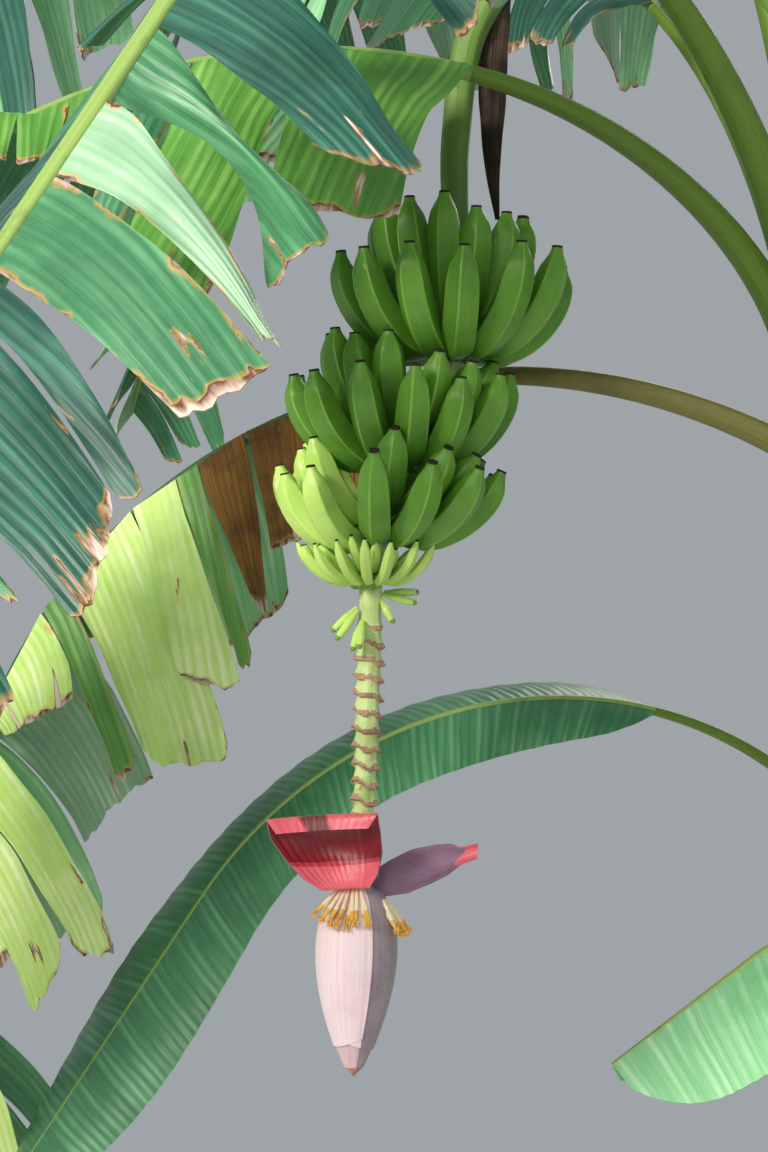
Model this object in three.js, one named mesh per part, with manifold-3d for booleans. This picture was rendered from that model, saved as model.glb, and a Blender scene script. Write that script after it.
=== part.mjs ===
// A fruiting banana plant: a leaning false stem of leaf sheaths with two suckers from the same root,
// torn arching fronds, and a hanging bunch of green fruit that ends in a bud with two lifted bracts.
// Millimetres, +Z up. The origin is the middle of the flat cut under the main stem, at ground level.
import * as THREE from 'three';
import { mergeVertices } from 'three/addons/utils/BufferGeometryUtils.js';
import Module from 'manifold-3d';

const wasm = await Module();
wasm.setup();

// Gap between neighbouring pieces
const CLEAR = 0.3;

// Main stem: a tapering column that leans to -X, from a flared foot to the throat
const STEM = {
  height: 1860, lean: -64, leanPower: 1.3, foot: 128, throat: 82, flare: 78, flareHeight: 110, sides: 12,
  levels: [0, 40, 100, 200, 380, 800, 1300],
};

// Fruit stalk: up from the throat, over its top and down through the bunch to the bud. Half its
// thickness at the throat, at the bunch and at the bud, and the shares of its length where the
// rising piece ends and where the bunch begins.
const STALK = {
  thick: 26,
  bunchThick: 17,
  budThick: 12,
  sides: 8,
  path: [
    [-64, 0, 1800], [-66, 0, 1960], [-104, -6, 2200], [-200, -22, 2390], [-330, -40, 2450],
    [-455, -52, 2400], [-545, -58, 2290], [-570, -60, 2150], [-571, -60, 2030], [-571, -60, 1900],
    [-600, -60, 1800], [-650, -60, 1720], [-674, -60, 1610], [-678, -60, 1500], [-684, -60, 1340],
    [-692, -60, 1222],
  ],
  top: 0.395,
  bunchTop: 0.6,
};

// Hands of fruit down the stalk: height of the cushion, middle azimuth and spread round the stalk,
// fingers in the lower row, length and girth of a finger, and its slope at its root and at its tip.
// The upper row stands closer to the stalk and has one finger less.
const HANDS = [
  { name: 'hand_1', height: 1880, middle: -72, spread: 312, count: 12,
    finger: 190, girth: 42, slope: [2, 84] },
  { name: 'hand_2', height: 1742, middle: -128, spread: 262, count: 10,
    finger: 178, girth: 41, slope: [4, 80] },
  { name: 'hand_3', height: 1656, middle: -8, spread: 172, count: 7,
    finger: 184, girth: 40, slope: [-6, 66] },
  { name: 'hand_4', height: 1638, middle: 186, spread: 146, count: 6,
    finger: 158, girth: 37, slope: [8, 78] },
  { name: 'hand_5', height: 1594, middle: -128, spread: 190, count: 10,
    finger: 100, girth: 14, slope: [-2, 66] },
];

// A finger leaves the cushion at an inset, keeps its slope along its own stalk and then turns up.
// Girth along it in shares of its length; tries are the shorter and lower forms that it may take to
// keep clear of its neighbours.
const FINGER = {
  sides: 5, steps: 50, inset: 0.7, pedicel: 0.16, erectAt: 0.95, turn: 0.8, uneven: 0.1, unevenSlope: 8,
  upperRise: 26, upperStart: 36, upperErect: 4, upperLength: 0.92,
  shares: [0, 0.2, 0.5, 0.84, 1],
  widths: [0.4, 0.94, 1, 0.84, 0.3],
  tries: [[1, 0], [0.96, 12], [0.9, 24], [0.8, 30], [0.7, 36]],
};

// Cushion that the fingers grow from: a bar round part of the stalk, shorter than the hand's spread
const CUSHION = {
  reach: 20, rise: 9, thick: 15, thickOfGirth: 0.7, tall: 1.5, sides: 6, short: 34, steps: 8,
};

// Male bud below the bunch: a short neck, widest early on the way down, with a blunt end
const BUD = {
  top: 1221.6, tip: 975, radius: 50, neck: 13, end: 2, x: -692, shift: -6, y: -60, sides: 12, rings: 8,
  held: 0.04, early: 0.62, open: 0.985, full: 0.8,
};

// Lifted bracts: points of the keel from the bud's neck to the rolled tip, half widths along it,
// how far the sides rise from the keel, and the ways across the bract and out of its face
const BRACT = { thick: 2.4, columns: 5 };
const BRACTS = [
  { name: 'bract_left', colour: 'bract',
    keel: [[-698, -71, 1219], [-707, -102, 1217], [-713, -100, 1233], [-722, -88, 1258],
      [-731, -88, 1282], [-735, -102, 1303], [-735, -120, 1306], [-735, -127, 1290]],
    widths: [14, 36, 52, 64, 66, 62, 59, 57], cup: [2, 8, 18, 26, 26, 18, 10, 6],
    across: [1, 0, 0.06], face: [0, -1, 0] },
  { name: 'bract_right', colour: 'purple',
    keel: [[-684, -60, 1212], [-650, -58, 1223], [-600, -60, 1239], [-543, -62, 1256]],
    widths: [12, 22, 27, 24, 16, 12], cup: [0, 8, 13, 14, 13, 11],
    across: [0.1, 0.25, 1], face: [0, 1, -0.1] },
];

// Male flowers under the bracts: slim tubes that fan out from a root
const FLOWER = { length: 44, fan: 0.45, pitch: 3.2, sides: 4, radii: [[0, 4], [0.7, 5], [1, 3]] };
const FLOWERS = [
  { name: 'male_flowers_left', root: [-702, -82, 1214], way: [-0.22, -0.62, -0.75], across: [1, 0, 0],
    count: 7 },
  { name: 'male_flowers_right', root: [-661, -70, 1196], way: [0.55, -0.3, -0.8],
    across: [0.3, 0.9, 0], count: 4 },
];

// Dried sheath that hangs beside the fruit stalk, a long dark point
const DRIED = {
  centre: [[-516, -52, 2352], [-522, -54, 2270], [-524, -56, 2190], [-524, -58, 2110], [-518, -60, 2046]],
  widths: [17, 18, 17, 10, 2], cup: 5, thick: 5,
};

// Fronds round the throat. seat: azimuth, distance from the stem's axis and height of the root;
// heading: compass of the rib; lift and droop: its slope at the root and at the tip, in degrees;
// fall: share of the length where the droop is reached; bend: how late the rib turns over;
// petiole, length: run of the bare stalk and of the whole rib; half: widest reach of one side;
// fold: how far the left and the right side of the blade hang from flat, in degrees;
// lean: angle between the rib and the strips at the blade's base and at its tip;
// hang: the slope that its strips may hang to, where it isn't the usual one.
const FRONDS = [
  { name: 'frond_1', seat: [-158, 77, 1860], heading: -163, lift: 80, droop: 84, fall: 0.94, bend: 0.67,
    petiole: 590, length: 2250, half: 290, fold: [62, 16], lean: [52, 60] },
  { name: 'frond_2', seat: [-124, 77, 1860], heading: -138, lift: 65, droop: 54, fall: 0.54, bend: 1.6,
    petiole: 640, length: 2300, half: 300, fold: [20, 10], lean: [84, 70], hang: 50 },
  { name: 'frond_3', seat: [162, 80, 1770], heading: 167, lift: 29, droop: 84, fall: 0.74, bend: 1,
    petiole: 560, length: 2100, half: 300, fold: [70, 30], lean: [84, 62] },
  { name: 'frond_4', seat: [178, 48, 1890], heading: -177, lift: 86, droop: 66, fall: 0.7, bend: 2,
    petiole: 560, length: 2350, half: 290, fold: [46, 24], lean: [76, 56] },
  { name: 'frond_5', seat: [-78, 74, 1850], heading: -72, lift: 74, droop: 72, fall: 0.85, bend: 0.9,
    petiole: 600, length: 2200, half: 280, fold: [34, 42], lean: [78, 56] },
  { name: 'frond_6', seat: [-34, 72, 1862], heading: -28, lift: 82, droop: 60, fall: 0.8, bend: 1.1,
    petiole: 600, length: 2350, half: 300, fold: [30, 22], lean: [80, 58] },
  { name: 'frond_7', seat: [12, 76, 1840], heading: 15, lift: 66, droop: 78, fall: 0.8, bend: 0.8,
    petiole: 560, length: 2150, half: 280, fold: [48, 36], lean: [78, 60] },
  { name: 'frond_8', seat: [58, 70, 1862], heading: 64, lift: 80, droop: 66, fall: 0.85, bend: 1.05,
    petiole: 600, length: 2300, half: 300, fold: [26, 34], lean: [80, 56] },
  { name: 'frond_9', seat: [118, 72, 1855], heading: 136, lift: 78, droop: 66, fall: 0.8, bend: 1.4,
    petiole: 600, length: 2200, half: 280, fold: [30, 40], lean: [78, 58] },
];
const PETIOLE = { root: 60, end: 30, tip: 8, depth: 0.72, sides: 6, sheath: 190 };
const MIDRIB = { root: 60, end: 26, tip: 8, depth: 0.6 };

// Outline of a blade: narrow at its base, full from one share of its length to another, then round
const OUTLINE = { narrow: 0.62, fullFrom: 0.28, fullTo: 0.62, tip: 0.4, blunt: 0.03 };

// Torn strips on each side of a blade, and how many of them lie before the rib's bend. They hang to
// a slope, twist, narrow and end ragged, each a little different; tries are the shorter lengths that
// a strip may take to keep clear.
const TEAR = {
  strips: 8, inner: 3, gap: 0.05, thick: 4, rows: 4, hang: 76, hangLeast: 0.7, bend: 0.7,
  twist: 26, uneven: 16, shortest: 0.88, longer: 0.2, narrow: 0.1, ragged: 0.6,
  tries: [1, 0.8, 0.6, 0.42],
};

// Suckers: younger stems from the same root, each with leaves that are hardly torn. The one leaf
// that bends most is split half-way.
const SUCKERS = [
  { name: 'sucker_a', foot: [145, 282], top: [100, 300, 1120], radius: [70, 42], flare: 56, leaves: [
    { name: 'sucker_a_leaf_1', seat: [-172, 38, 1123], heading: -172, lift: 68, droop: 56, fall: 0.725,
      bend: 0.9, petiole: 470, length: 1640, half: 130, fold: [34, -8], splitAt: 0.5 },
    { name: 'sucker_a_leaf_2', seat: [-20, 36, 1125], heading: -8, lift: 78, droop: 60, fall: 0.9,
      bend: 0.9, petiole: 320, length: 1350, half: 150, fold: [18, 24] },
    { name: 'sucker_a_leaf_3', seat: [80, 36, 1110], heading: 78, lift: 66, droop: 66, fall: 0.9,
      bend: 0.8, petiole: 300, length: 1300, half: 145, fold: [26, 20] },
  ] },
  { name: 'sucker_b', foot: [164, -250], top: [130, -260, 820], radius: [64, 38], flare: 52, leaves: [
    { name: 'sucker_b_leaf_1', seat: [-172, 34, 860], heading: -172, lift: 87, droop: 35, fall: 0.74,
      bend: 1.64, petiole: 330, length: 770, half: 150, fold: [12, 30] },
    { name: 'sucker_b_leaf_2', seat: [-70, 34, 815], heading: -62, lift: 72, droop: 62, fall: 0.9,
      bend: 0.9, petiole: 280, length: 1150, half: 140, fold: [24, 20] },
    { name: 'sucker_b_leaf_3', seat: [20, 34, 800], heading: 8, lift: 66, droop: 58, fall: 0.9,
      bend: 0.9, petiole: 270, length: 1100, half: 140, fold: [20, 26] },
  ] },
];
const SUCKER_PETIOLE = { root: 34, end: 20, tip: 6, depth: 0.75, sides: 5, sheath: 110 };
const SUCKER_LEVELS = [0, 0.06, 0.16, 0.4, 1];
const LEAF = { rows: 9, thick: 5, spine: 14, curl: 14, split: 0.4 };

const COLOURS = {
  sheath: 0x7f8a4a,
  stalk: 0x5c7a34,
  fruit: 0x5f9a2c,
  petiole: 0x7c9136,
  blade: 0x2f7a4c,
  leaf: 0x4f9a5a,
  bud: 0xc79aa6,
  bract: 0xb02a3a,
  purple: 0x7a4a66,
  flower: 0xe8c890,
  dried: 0x2e2219,
};

const radians = THREE.MathUtils.degToRad;
const vector = (x, y, z) => new THREE.Vector3(x, y, z);

// A repeatable number from 0 to 1 for each seed and index
function chance(seed, index) {
  const wave = Math.sin(seed * 12.9898 + index * 78.233) * 43758.5453;
  return wave - Math.floor(wave);
}

function geometryFrom(positions, index) {
  const geometry = new THREE.BufferGeometry();
  geometry.setAttribute('position', new THREE.Float32BufferAttribute(positions, 3));
  geometry.setIndex(index);
  return geometry;
}

function solidFrom(geometry) {
  const bare = geometry.clone();
  bare.deleteAttribute('normal');
  bare.deleteAttribute('uv');
  const merged = mergeVertices(bare, 1e-4);
  const mesh = new wasm.Mesh({
    numProp: 3,
    vertProperties: new Float32Array(merged.attributes.position.array),
    triVerts: new Uint32Array(merged.index.array),
  });
  return new wasm.Manifold(mesh);
}

// Closed skin through rings of points that turn anticlockwise about the way they run
function loft(rings) {
  const count = rings[0].length;
  const positions = rings.flat().flatMap((point) => [point.x, point.y, point.z]);
  const index = [];
  for (let ring = 0; ring + 1 < rings.length; ring += 1) {
    for (let i = 0; i < count; i += 1) {
      const a = ring * count + i;
      const b = ring * count + (i + 1) % count;
      index.push(a, b, b + count, a, b + count, a + count);
    }
  }
  const last = (rings.length - 1) * count;
  for (let i = 1; i + 1 < count; i += 1) {
    index.push(0, i + 1, i, last, last + i, last + i + 1);
  }
  return solidFrom(geometryFrom(positions, index));
}

// Ring of a rod: across and up are its two half axes, turned so that a flat lies on top
function ring(centre, across, up, sides) {
  return Array.from({ length: sides }, (_, i) => {
    const angle = 2 * Math.PI * (i + 0.5) / sides;
    return centre.clone().addScaledVector(across, Math.cos(angle)).addScaledVector(up, Math.sin(angle));
  });
}

// Thin closed plate on a grid of points, half its thickness each way along the grid's normals.
// thick is one number, or a list with the thickness of each column. The first and last spare rows
// only turn the normals of their neighbours.
function plate(grid, thick, spare = 0) {
  const rows = grid.length - 2 * spare;
  const columns = grid[0].length;
  const positions = [];
  for (const way of [0.5, -0.5]) {
    for (let r = spare; r < rows + spare; r += 1) {
      for (let c = 0; c < columns; c += 1) {
        const along = grid[Math.min(r + 1, grid.length - 1)][c].clone().sub(grid[Math.max(r - 1, 0)][c]);
        const across = grid[r][Math.min(c + 1, columns - 1)].clone().sub(grid[r][Math.max(c - 1, 0)]);
        const depth = way * (thick.length ? thick[c] : thick);
        const point = along.cross(across).normalize().multiplyScalar(depth).add(grid[r][c]);
        positions.push(point.x, point.y, point.z);
      }
    }
  }
  const index = [];
  const under = rows * columns;
  const edge = (a, b) => index.push(a, a + under, b + under, a, b + under, b);
  for (let r = 0; r + 1 < rows; r += 1) {
    for (let c = 0; c + 1 < columns; c += 1) {
      const a = r * columns + c;
      const b = a + columns;
      index.push(a, b, b + 1, a, b + 1, a + 1);
      index.push(a + under, b + 1 + under, b + under, a + under, a + 1 + under, b + 1 + under);
    }
    edge(r * columns, (r + 1) * columns);
    edge((r + 2) * columns - 1, (r + 1) * columns - 1);
  }
  for (let c = 0; c + 1 < columns; c += 1) {
    edge(c + 1, c);
    edge((rows - 1) * columns + c, (rows - 1) * columns + c + 1);
  }
  return solidFrom(geometryFrom(positions, index));
}

const union = (solids) => solids.reduce((joined, solid) => joined.add(solid));
const largest = (solid) => solid.decompose().reduce((a, b) => (a.volume() >= b.volume() ? a : b));

const plant = new THREE.Group();
const placed = [];
const stalks = [];

// Whether the boxes round two solids come within a millimetre
function near(solid, other) {
  const a = solid.boundingBox();
  const b = other.boundingBox();
  return [0, 1, 2].every((i) => a.min[i] <= b.max[i] + 1 && b.min[i] <= a.max[i] + 1);
}

function meets(solid, other) {
  return near(solid, other) && solid.minGap(other, 1) < CLEAR;
}

// Whether a solid comes closer than the gap to anything placed
function touches(solid, spared = []) {
  return placed.some((other) => !spared.includes(other) && meets(solid, other));
}

// Adds a finished solid to the plant as a named mesh
function place(name, solid, colour, roughness = 0.6) {
  const body = largest(solid);
  const { vertProperties, triVerts } = body.getMesh();
  const material = new THREE.MeshStandardMaterial({ color: COLOURS[colour], roughness, metalness: 0 });
  const mesh = new THREE.Mesh(geometryFrom(Array.from(vertProperties), Array.from(triVerts)), material);
  mesh.name = name;
  plant.add(mesh);
  placed.push(body);
  return body;
}

// Grown copies of the stems and stalks, which later limbs are cut by
const cutters = [];

function cut(solid) {
  return cutters.filter((other) => near(solid, other)).reduce((rest, other) => rest.subtract(other), solid);
}

function stemAxis(height) {
  return vector(STEM.lean * (height / STEM.height) ** STEM.leanPower, 0, height);
}

function stemSolid(grow) {
  const rings = [...STEM.levels, STEM.height + grow].map((height) => {
    const taper = THREE.MathUtils.lerp(STEM.foot, STEM.throat, height / STEM.height);
    const radius = taper + STEM.flare * Math.exp(-height / STEM.flareHeight) + grow;
    return ring(stemAxis(height), vector(radius, 0, 0), vector(0, radius, 0), STEM.sides);
  });
  return loft(rings);
}

function suckerSolid(sucker, grow) {
  const [x, y, height] = sucker.top;
  const rings = SUCKER_LEVELS.map((share) => {
    const taper = THREE.MathUtils.lerp(sucker.radius[0], sucker.radius[1], share);
    const radius = taper + sucker.flare * Math.exp(-share * height / STEM.flareHeight) + grow;
    const centre = vector(sucker.foot[0], sucker.foot[1], 0).lerp(vector(x, y, height + grow), share);
    return ring(centre, vector(radius, 0, 0), vector(0, radius, 0), STEM.sides);
  });
  return loft(rings);
}

const stalkCurve = new THREE.CatmullRomCurve3(STALK.path.map((point) => vector(...point)));

// Half the stalk's thickness at a share of its length
function stalkRadius(share) {
  if (share < STALK.bunchTop) {
    return THREE.MathUtils.lerp(STALK.thick, STALK.bunchThick, share / STALK.bunchTop);
  }
  const below = (share - STALK.bunchTop) / (1 - STALK.bunchTop);
  return THREE.MathUtils.lerp(STALK.bunchThick, STALK.budThick, below);
}

// Round length of the fruit stalk between two shares of its run
function stalkPiece(from, to, steps, grow) {
  const rings = Array.from({ length: steps + 1 }, (_, i) => {
    const share = THREE.MathUtils.lerp(from, to, i / steps);
    const along = stalkCurve.getTangentAt(share);
    const across = vector(0, 1, 0).cross(along).normalize();
    const radius = stalkRadius(share) + grow;
    const up = along.clone().cross(across).multiplyScalar(radius);
    return ring(stalkCurve.getPointAt(share), across.multiplyScalar(radius), up, STALK.sides);
  });
  return loft(rings);
}

// Point of the hanging stalk at a height
function stalkAt(height) {
  let low = STALK.bunchTop;
  let high = 1;
  for (let i = 0; i < 24; i += 1) {
    const middle = (low + high) / 2;
    if (stalkCurve.getPointAt(middle).z > height) {
      low = middle;
    } else {
      high = middle;
    }
  }
  return stalkCurve.getPointAt(low);
}

// Slope along a finger: held through its stalk, then turning up
function fingerSlope([start, erect], share) {
  const bent = THREE.MathUtils.clamp((share - FINGER.pedicel) / (FINGER.erectAt - FINGER.pedicel), 0, 1);
  return radians(start + (erect - start) * bent ** FINGER.turn);
}

// One finger: out from the stalk, then curving up, five-angled, thin at its stalk and blunt at its tip
function finger(root, azimuth, slopes, length, girth) {
  const out = vector(Math.cos(azimuth), Math.sin(azimuth), 0);
  const across = vector(-Math.sin(azimuth), Math.cos(azimuth), 0);
  const path = [root.clone()];
  for (let i = 0; i < FINGER.steps; i += 1) {
    const slope = fingerSlope(slopes, (i + 0.5) / FINGER.steps);
    const way = out.clone().multiplyScalar(Math.cos(slope)).add(vector(0, 0, Math.sin(slope)));
    path.push(path[i].clone().addScaledVector(way, length / FINGER.steps));
  }
  const rings = FINGER.shares.map((share, i) => {
    const slope = fingerSlope(slopes, share);
    const up = vector(0, 0, Math.cos(slope)).addScaledVector(out, -Math.sin(slope));
    const radius = FINGER.widths[i] * girth / 2;
    const centre = path[Math.round(share * FINGER.steps)];
    return ring(centre, across.clone().multiplyScalar(radius), up.multiplyScalar(radius), FINGER.sides);
  });
  return loft(rings);
}

// A hand: two rows of fingers on a cushion that goes part of the way round the stalk
function hand(spec, seed) {
  const middle = radians(spec.middle);
  const spread = radians(spec.spread);
  const centre = stalkAt(spec.height);
  const around = (angle, reach, rise) => {
    return centre.clone().add(vector(reach * Math.cos(angle), reach * Math.sin(angle), rise));
  };
  const scale = spec.finger / HANDS[0].finger;
  const solids = [];
  for (const row of [0, 1]) {
    const count = spec.count - row;
    for (let i = 0; i < count; i += 1) {
      const angle = middle + spread * ((i + 0.5 * row) / (spec.count - 1) - 0.5);
      const jitter = chance(seed, row * 20 + i) - 0.5;
      const root = around(angle, CUSHION.reach * FINGER.inset, row * FINGER.upperRise * scale);
      const start = spec.slope[0] + row * FINGER.upperStart + FINGER.unevenSlope * jitter;
      const erect = spec.slope[1] + row * FINGER.upperErect;
      const length = spec.finger * (row ? FINGER.upperLength : 1) * (1 + FINGER.uneven * jitter);
      const free = FINGER.tries
        .map(([shorter, lower]) => {
          const slopes = [start - lower, erect - lower / 2];
          return finger(root, angle + FINGER.uneven * jitter, slopes, shorter * length, spec.girth);
        })
        .find((solid) => !touches(solid, stalks));
      if (free) {
        solids.push(free);
      }
    }
  }
  return cut(union([cushion(spec, around, scale), ...solids]));
}

// The pad that a hand's fingers grow from, a bar bent round the stalk
function cushion(spec, around, scale) {
  const held = radians(spec.spread - CUSHION.short);
  const pad = Array.from({ length: CUSHION.steps + 1 }, (_, i) => {
    const angle = radians(spec.middle) + held * (i / CUSHION.steps - 0.5);
    return around(angle, CUSHION.reach, CUSHION.rise * scale);
  });
  const path = new THREE.CatmullRomCurve3(pad);
  const thick = Math.min(CUSHION.thick, CUSHION.thickOfGirth * spec.girth);
  const rings = pad.map((point, i) => {
    const along = path.getTangent(i / CUSHION.steps);
    const across = vector(0, 0, 1).cross(along).normalize().multiplyScalar(thick);
    return ring(point, across, vector(0, 0, CUSHION.tall * thick), CUSHION.sides);
  });
  return placed.filter((other) => !stalks.includes(other)).reduce(clearOf, loft(rings));
}

// The bud: a long drop that narrows to its tip and leans with the stalk
function bud() {
  const rings = Array.from({ length: BUD.rings }, (_, i) => {
    const share = i / (BUD.rings - 1);
    const past = Math.max(0, share - BUD.held) / (1 - BUD.held);
    const swell = Math.sin(Math.PI * past ** BUD.early * BUD.open) ** BUD.full;
    const radius = THREE.MathUtils.lerp(BUD.neck, BUD.end, share) * (1 - swell) + BUD.radius * swell;
    const height = THREE.MathUtils.lerp(BUD.top, BUD.tip, share);
    const centre = vector(BUD.x + BUD.shift * share, BUD.y, height);
    return ring(centre, vector(radius, 0, 0), vector(0, -radius, 0), BUD.sides);
  });
  return loft(rings);
}

// A bract: a boat that starts at the bud's neck, opens and rolls back at its tip
function bract(spec) {
  const keel = new THREE.CatmullRomCurve3(spec.keel.map((point) => vector(...point)));
  const across = vector(...spec.across).normalize();
  const face = vector(...spec.face).normalize();
  const grid = spec.widths.map((half, r) => Array.from({ length: BRACT.columns }, (_, c) => {
    const side = 2 * c / (BRACT.columns - 1) - 1;
    return keel.getPoint(r / (spec.widths.length - 1))
      .addScaledVector(across, half * side)
      .addScaledVector(face, spec.cup[r] * side * side);
  }));
  return plate(grid, BRACT.thick);
}

// A comb of male flowers, side by side across its root
function flowers(spec) {
  const across = vector(...spec.across);
  const tubes = Array.from({ length: spec.count }, (_, i) => {
    const side = 2 * i / (spec.count - 1) - 1;
    const along = vector(...spec.way).addScaledVector(across, FLOWER.fan * side).normalize();
    const wide = across.clone().addScaledVector(along, -across.dot(along)).normalize();
    const up = along.clone().cross(wide);
    const root = vector(...spec.root).addScaledVector(across, FLOWER.pitch * side * spec.count / 2);
    return loft(FLOWER.radii.map(([share, radius]) => {
      const centre = root.clone().addScaledVector(along, share * FLOWER.length);
      const half = wide.clone().multiplyScalar(radius);
      return ring(centre, half, up.clone().multiplyScalar(radius), FLOWER.sides);
    }));
  });
  return union(tubes);
}

// The curve of a frond's rib: slope falls from lift to minus droop as a power of the way along
class Rib {
  constructor(spec, centre) {
    const [azimuth, reach, height] = spec.seat;
    const seat = radians(azimuth);
    this.spec = spec;
    this.root = vector(centre.x + reach * Math.cos(seat), centre.y + reach * Math.sin(seat), height);
    this.heading = radians(spec.heading);
    this.left = vector(-Math.sin(this.heading), Math.cos(this.heading), 0);
    this.steps = 80;
    this.stations = [this.root.clone()];
    for (let i = 0; i < this.steps; i += 1) {
      const way = this.along((i + 0.5) / this.steps * spec.length);
      this.stations.push(this.stations[i].clone().addScaledVector(way, spec.length / this.steps));
    }
  }

  along(run) {
    const { lift, droop, fall, bend, length } = this.spec;
    const slope = radians(lift - (lift + droop) * Math.min(1, run / length / fall) ** bend);
    return vector(
      Math.cos(slope) * Math.cos(this.heading),
      Math.cos(slope) * Math.sin(this.heading),
      Math.sin(slope),
    );
  }

  up(run) {
    return this.along(run).cross(this.left);
  }

  at(run) {
    const place = Math.min(Math.max(run / this.spec.length * this.steps, 0), this.steps - 1e-6);
    const from = Math.floor(place);
    return this.stations[from].clone().lerp(this.stations[from + 1], place - from);
  }
}

// Width of the rib at a run: wide at its root, slim at the blade, fine at its tip
function ribWidth(rib, run, sizes) {
  const { petiole, length } = rib.spec;
  if (run < petiole) {
    return THREE.MathUtils.lerp(sizes.root, sizes.end, Math.max(run, 0) / petiole);
  }
  return THREE.MathUtils.lerp(sizes.end, sizes.tip, (run - petiole) / (length - petiole));
}

function ribRings(rib, from, to, count, sizes, grow) {
  return Array.from({ length: count }, (_, i) => {
    const run = THREE.MathUtils.lerp(from, to, i / (count - 1));
    const half = ribWidth(rib, run, sizes) / 2 + grow;
    const across = rib.left.clone().multiplyScalar(half);
    const up = rib.up(run).multiplyScalar(half * sizes.depth + grow);
    return ring(rib.at(run), across, up, sizes.sides);
  });
}

// The petiole rises inside the throat before it leaves the stem
function petiole(rib, centre, sizes, grow) {
  const start = centre.clone().lerp(rib.root, 0.5).setZ(rib.root.z - sizes.sheath);
  const half = sizes.root / 2 + grow;
  const first = ring(
    start,
    rib.left.clone().multiplyScalar(half),
    vector(Math.cos(rib.heading), Math.sin(rib.heading), 0).multiplyScalar(-half),
    sizes.sides,
  );
  return loft([first, ...ribRings(rib, 0, rib.spec.petiole - CLEAR, 9, sizes, grow)]);
}

// Reach of a blade's side at a share of its length: narrow at the base, widest past the middle
function reachAt(share, half) {
  const base = 1 - OUTLINE.narrow * (1 - Math.min(1, share / OUTLINE.fullFrom)) ** 2;
  const past = Math.max(0, (share - OUTLINE.fullTo) / OUTLINE.tip);
  return half * base * Math.sqrt(Math.max(OUTLINE.blunt, 1 - past ** 2));
}

// One torn strip: it leaves the rib, hangs over under its weight and narrows to a ragged end.
// Rows of its back and front edge, in the middle of its thickness; the first lies on the rib's side.
function stripRows(rib, seed, side, index, shorter) {
  const { petiole: bare, length, half, fold, lean: leans } = rib.spec;
  const pitch = (length - bare) / TEAR.strips;
  const share = (index + 0.5) / TEAR.strips;
  const run = bare + (index + 0.5) * pitch;
  const luck = (item) => chance(seed * 7 + (side > 0 ? 0 : 3), index * 5 + item);
  const lean = radians(THREE.MathUtils.lerp(leans[0], leans[1], share));
  const hinge = radians(fold[side > 0 ? 0 : 1] + TEAR.uneven * (luck(0) - 0.5));
  const along = rib.along(run);
  const outward = rib.left.clone().multiplyScalar(side * Math.cos(hinge))
    .addScaledVector(rib.up(run), -Math.sin(hinge));
  const way = along.clone().multiplyScalar(Math.cos(lean)).addScaledVector(outward, Math.sin(lean));
  const compass = Math.atan2(way.y, way.x);
  const first = Math.asin(way.z);
  const hang = (rib.spec.hang ?? TEAR.hang) * THREE.MathUtils.lerp(TEAR.hangLeast, 1, luck(1));
  const last = Math.min(first, -radians(hang));
  const reach = reachAt(share, half) / Math.sin(lean) * (TEAR.shortest + TEAR.longer * luck(2));
  const step = shorter * reach / (TEAR.rows - 1);
  const twist = radians(TEAR.twist) * (luck(3) - 0.5);
  const width = pitch * Math.sin(lean) * (1 - TEAR.gap);
  const centre = rib.at(run).addScaledVector(rib.left, side * ribWidth(rib, run, MIDRIB) / 2);
  const rows = [];
  for (let r = 1; r < TEAR.rows; r += 1) {
    const far = r / (TEAR.rows - 1);
    const slope = first + (last - first) * (far - 0.5 / (TEAR.rows - 1)) ** TEAR.bend;
    const heading = vector(
      Math.cos(slope) * Math.cos(compass),
      Math.cos(slope) * Math.sin(compass),
      Math.sin(slope),
    );
    const broad = along.clone().addScaledVector(heading, -along.dot(heading)).normalize()
      .applyAxisAngle(heading, twist * far);
    const wide = 0.5 * width * (r < TEAR.rows - 1 ? 1 - TEAR.narrow * far : TEAR.ragged);
    centre.addScaledVector(heading, step);
    rows.push({
      back: centre.clone().addScaledVector(broad, -wide),
      front: centre.clone().addScaledVector(broad, wide),
      thick: broad.clone().cross(heading).multiplyScalar(side * TEAR.thick / 2),
    });
  }
  return rows;
}

// Corners of the midrib at a run: left above and below, right above and below
function midribCorners(rib, run) {
  const half = ribWidth(rib, run, MIDRIB) / 2;
  const up = rib.up(run).multiplyScalar(half * MIDRIB.depth);
  return [1, -1].flatMap((side) => [1, -1].map((way) => {
    return rib.at(run).addScaledVector(rib.left, side * half).addScaledVector(up, way);
  }));
}

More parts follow.
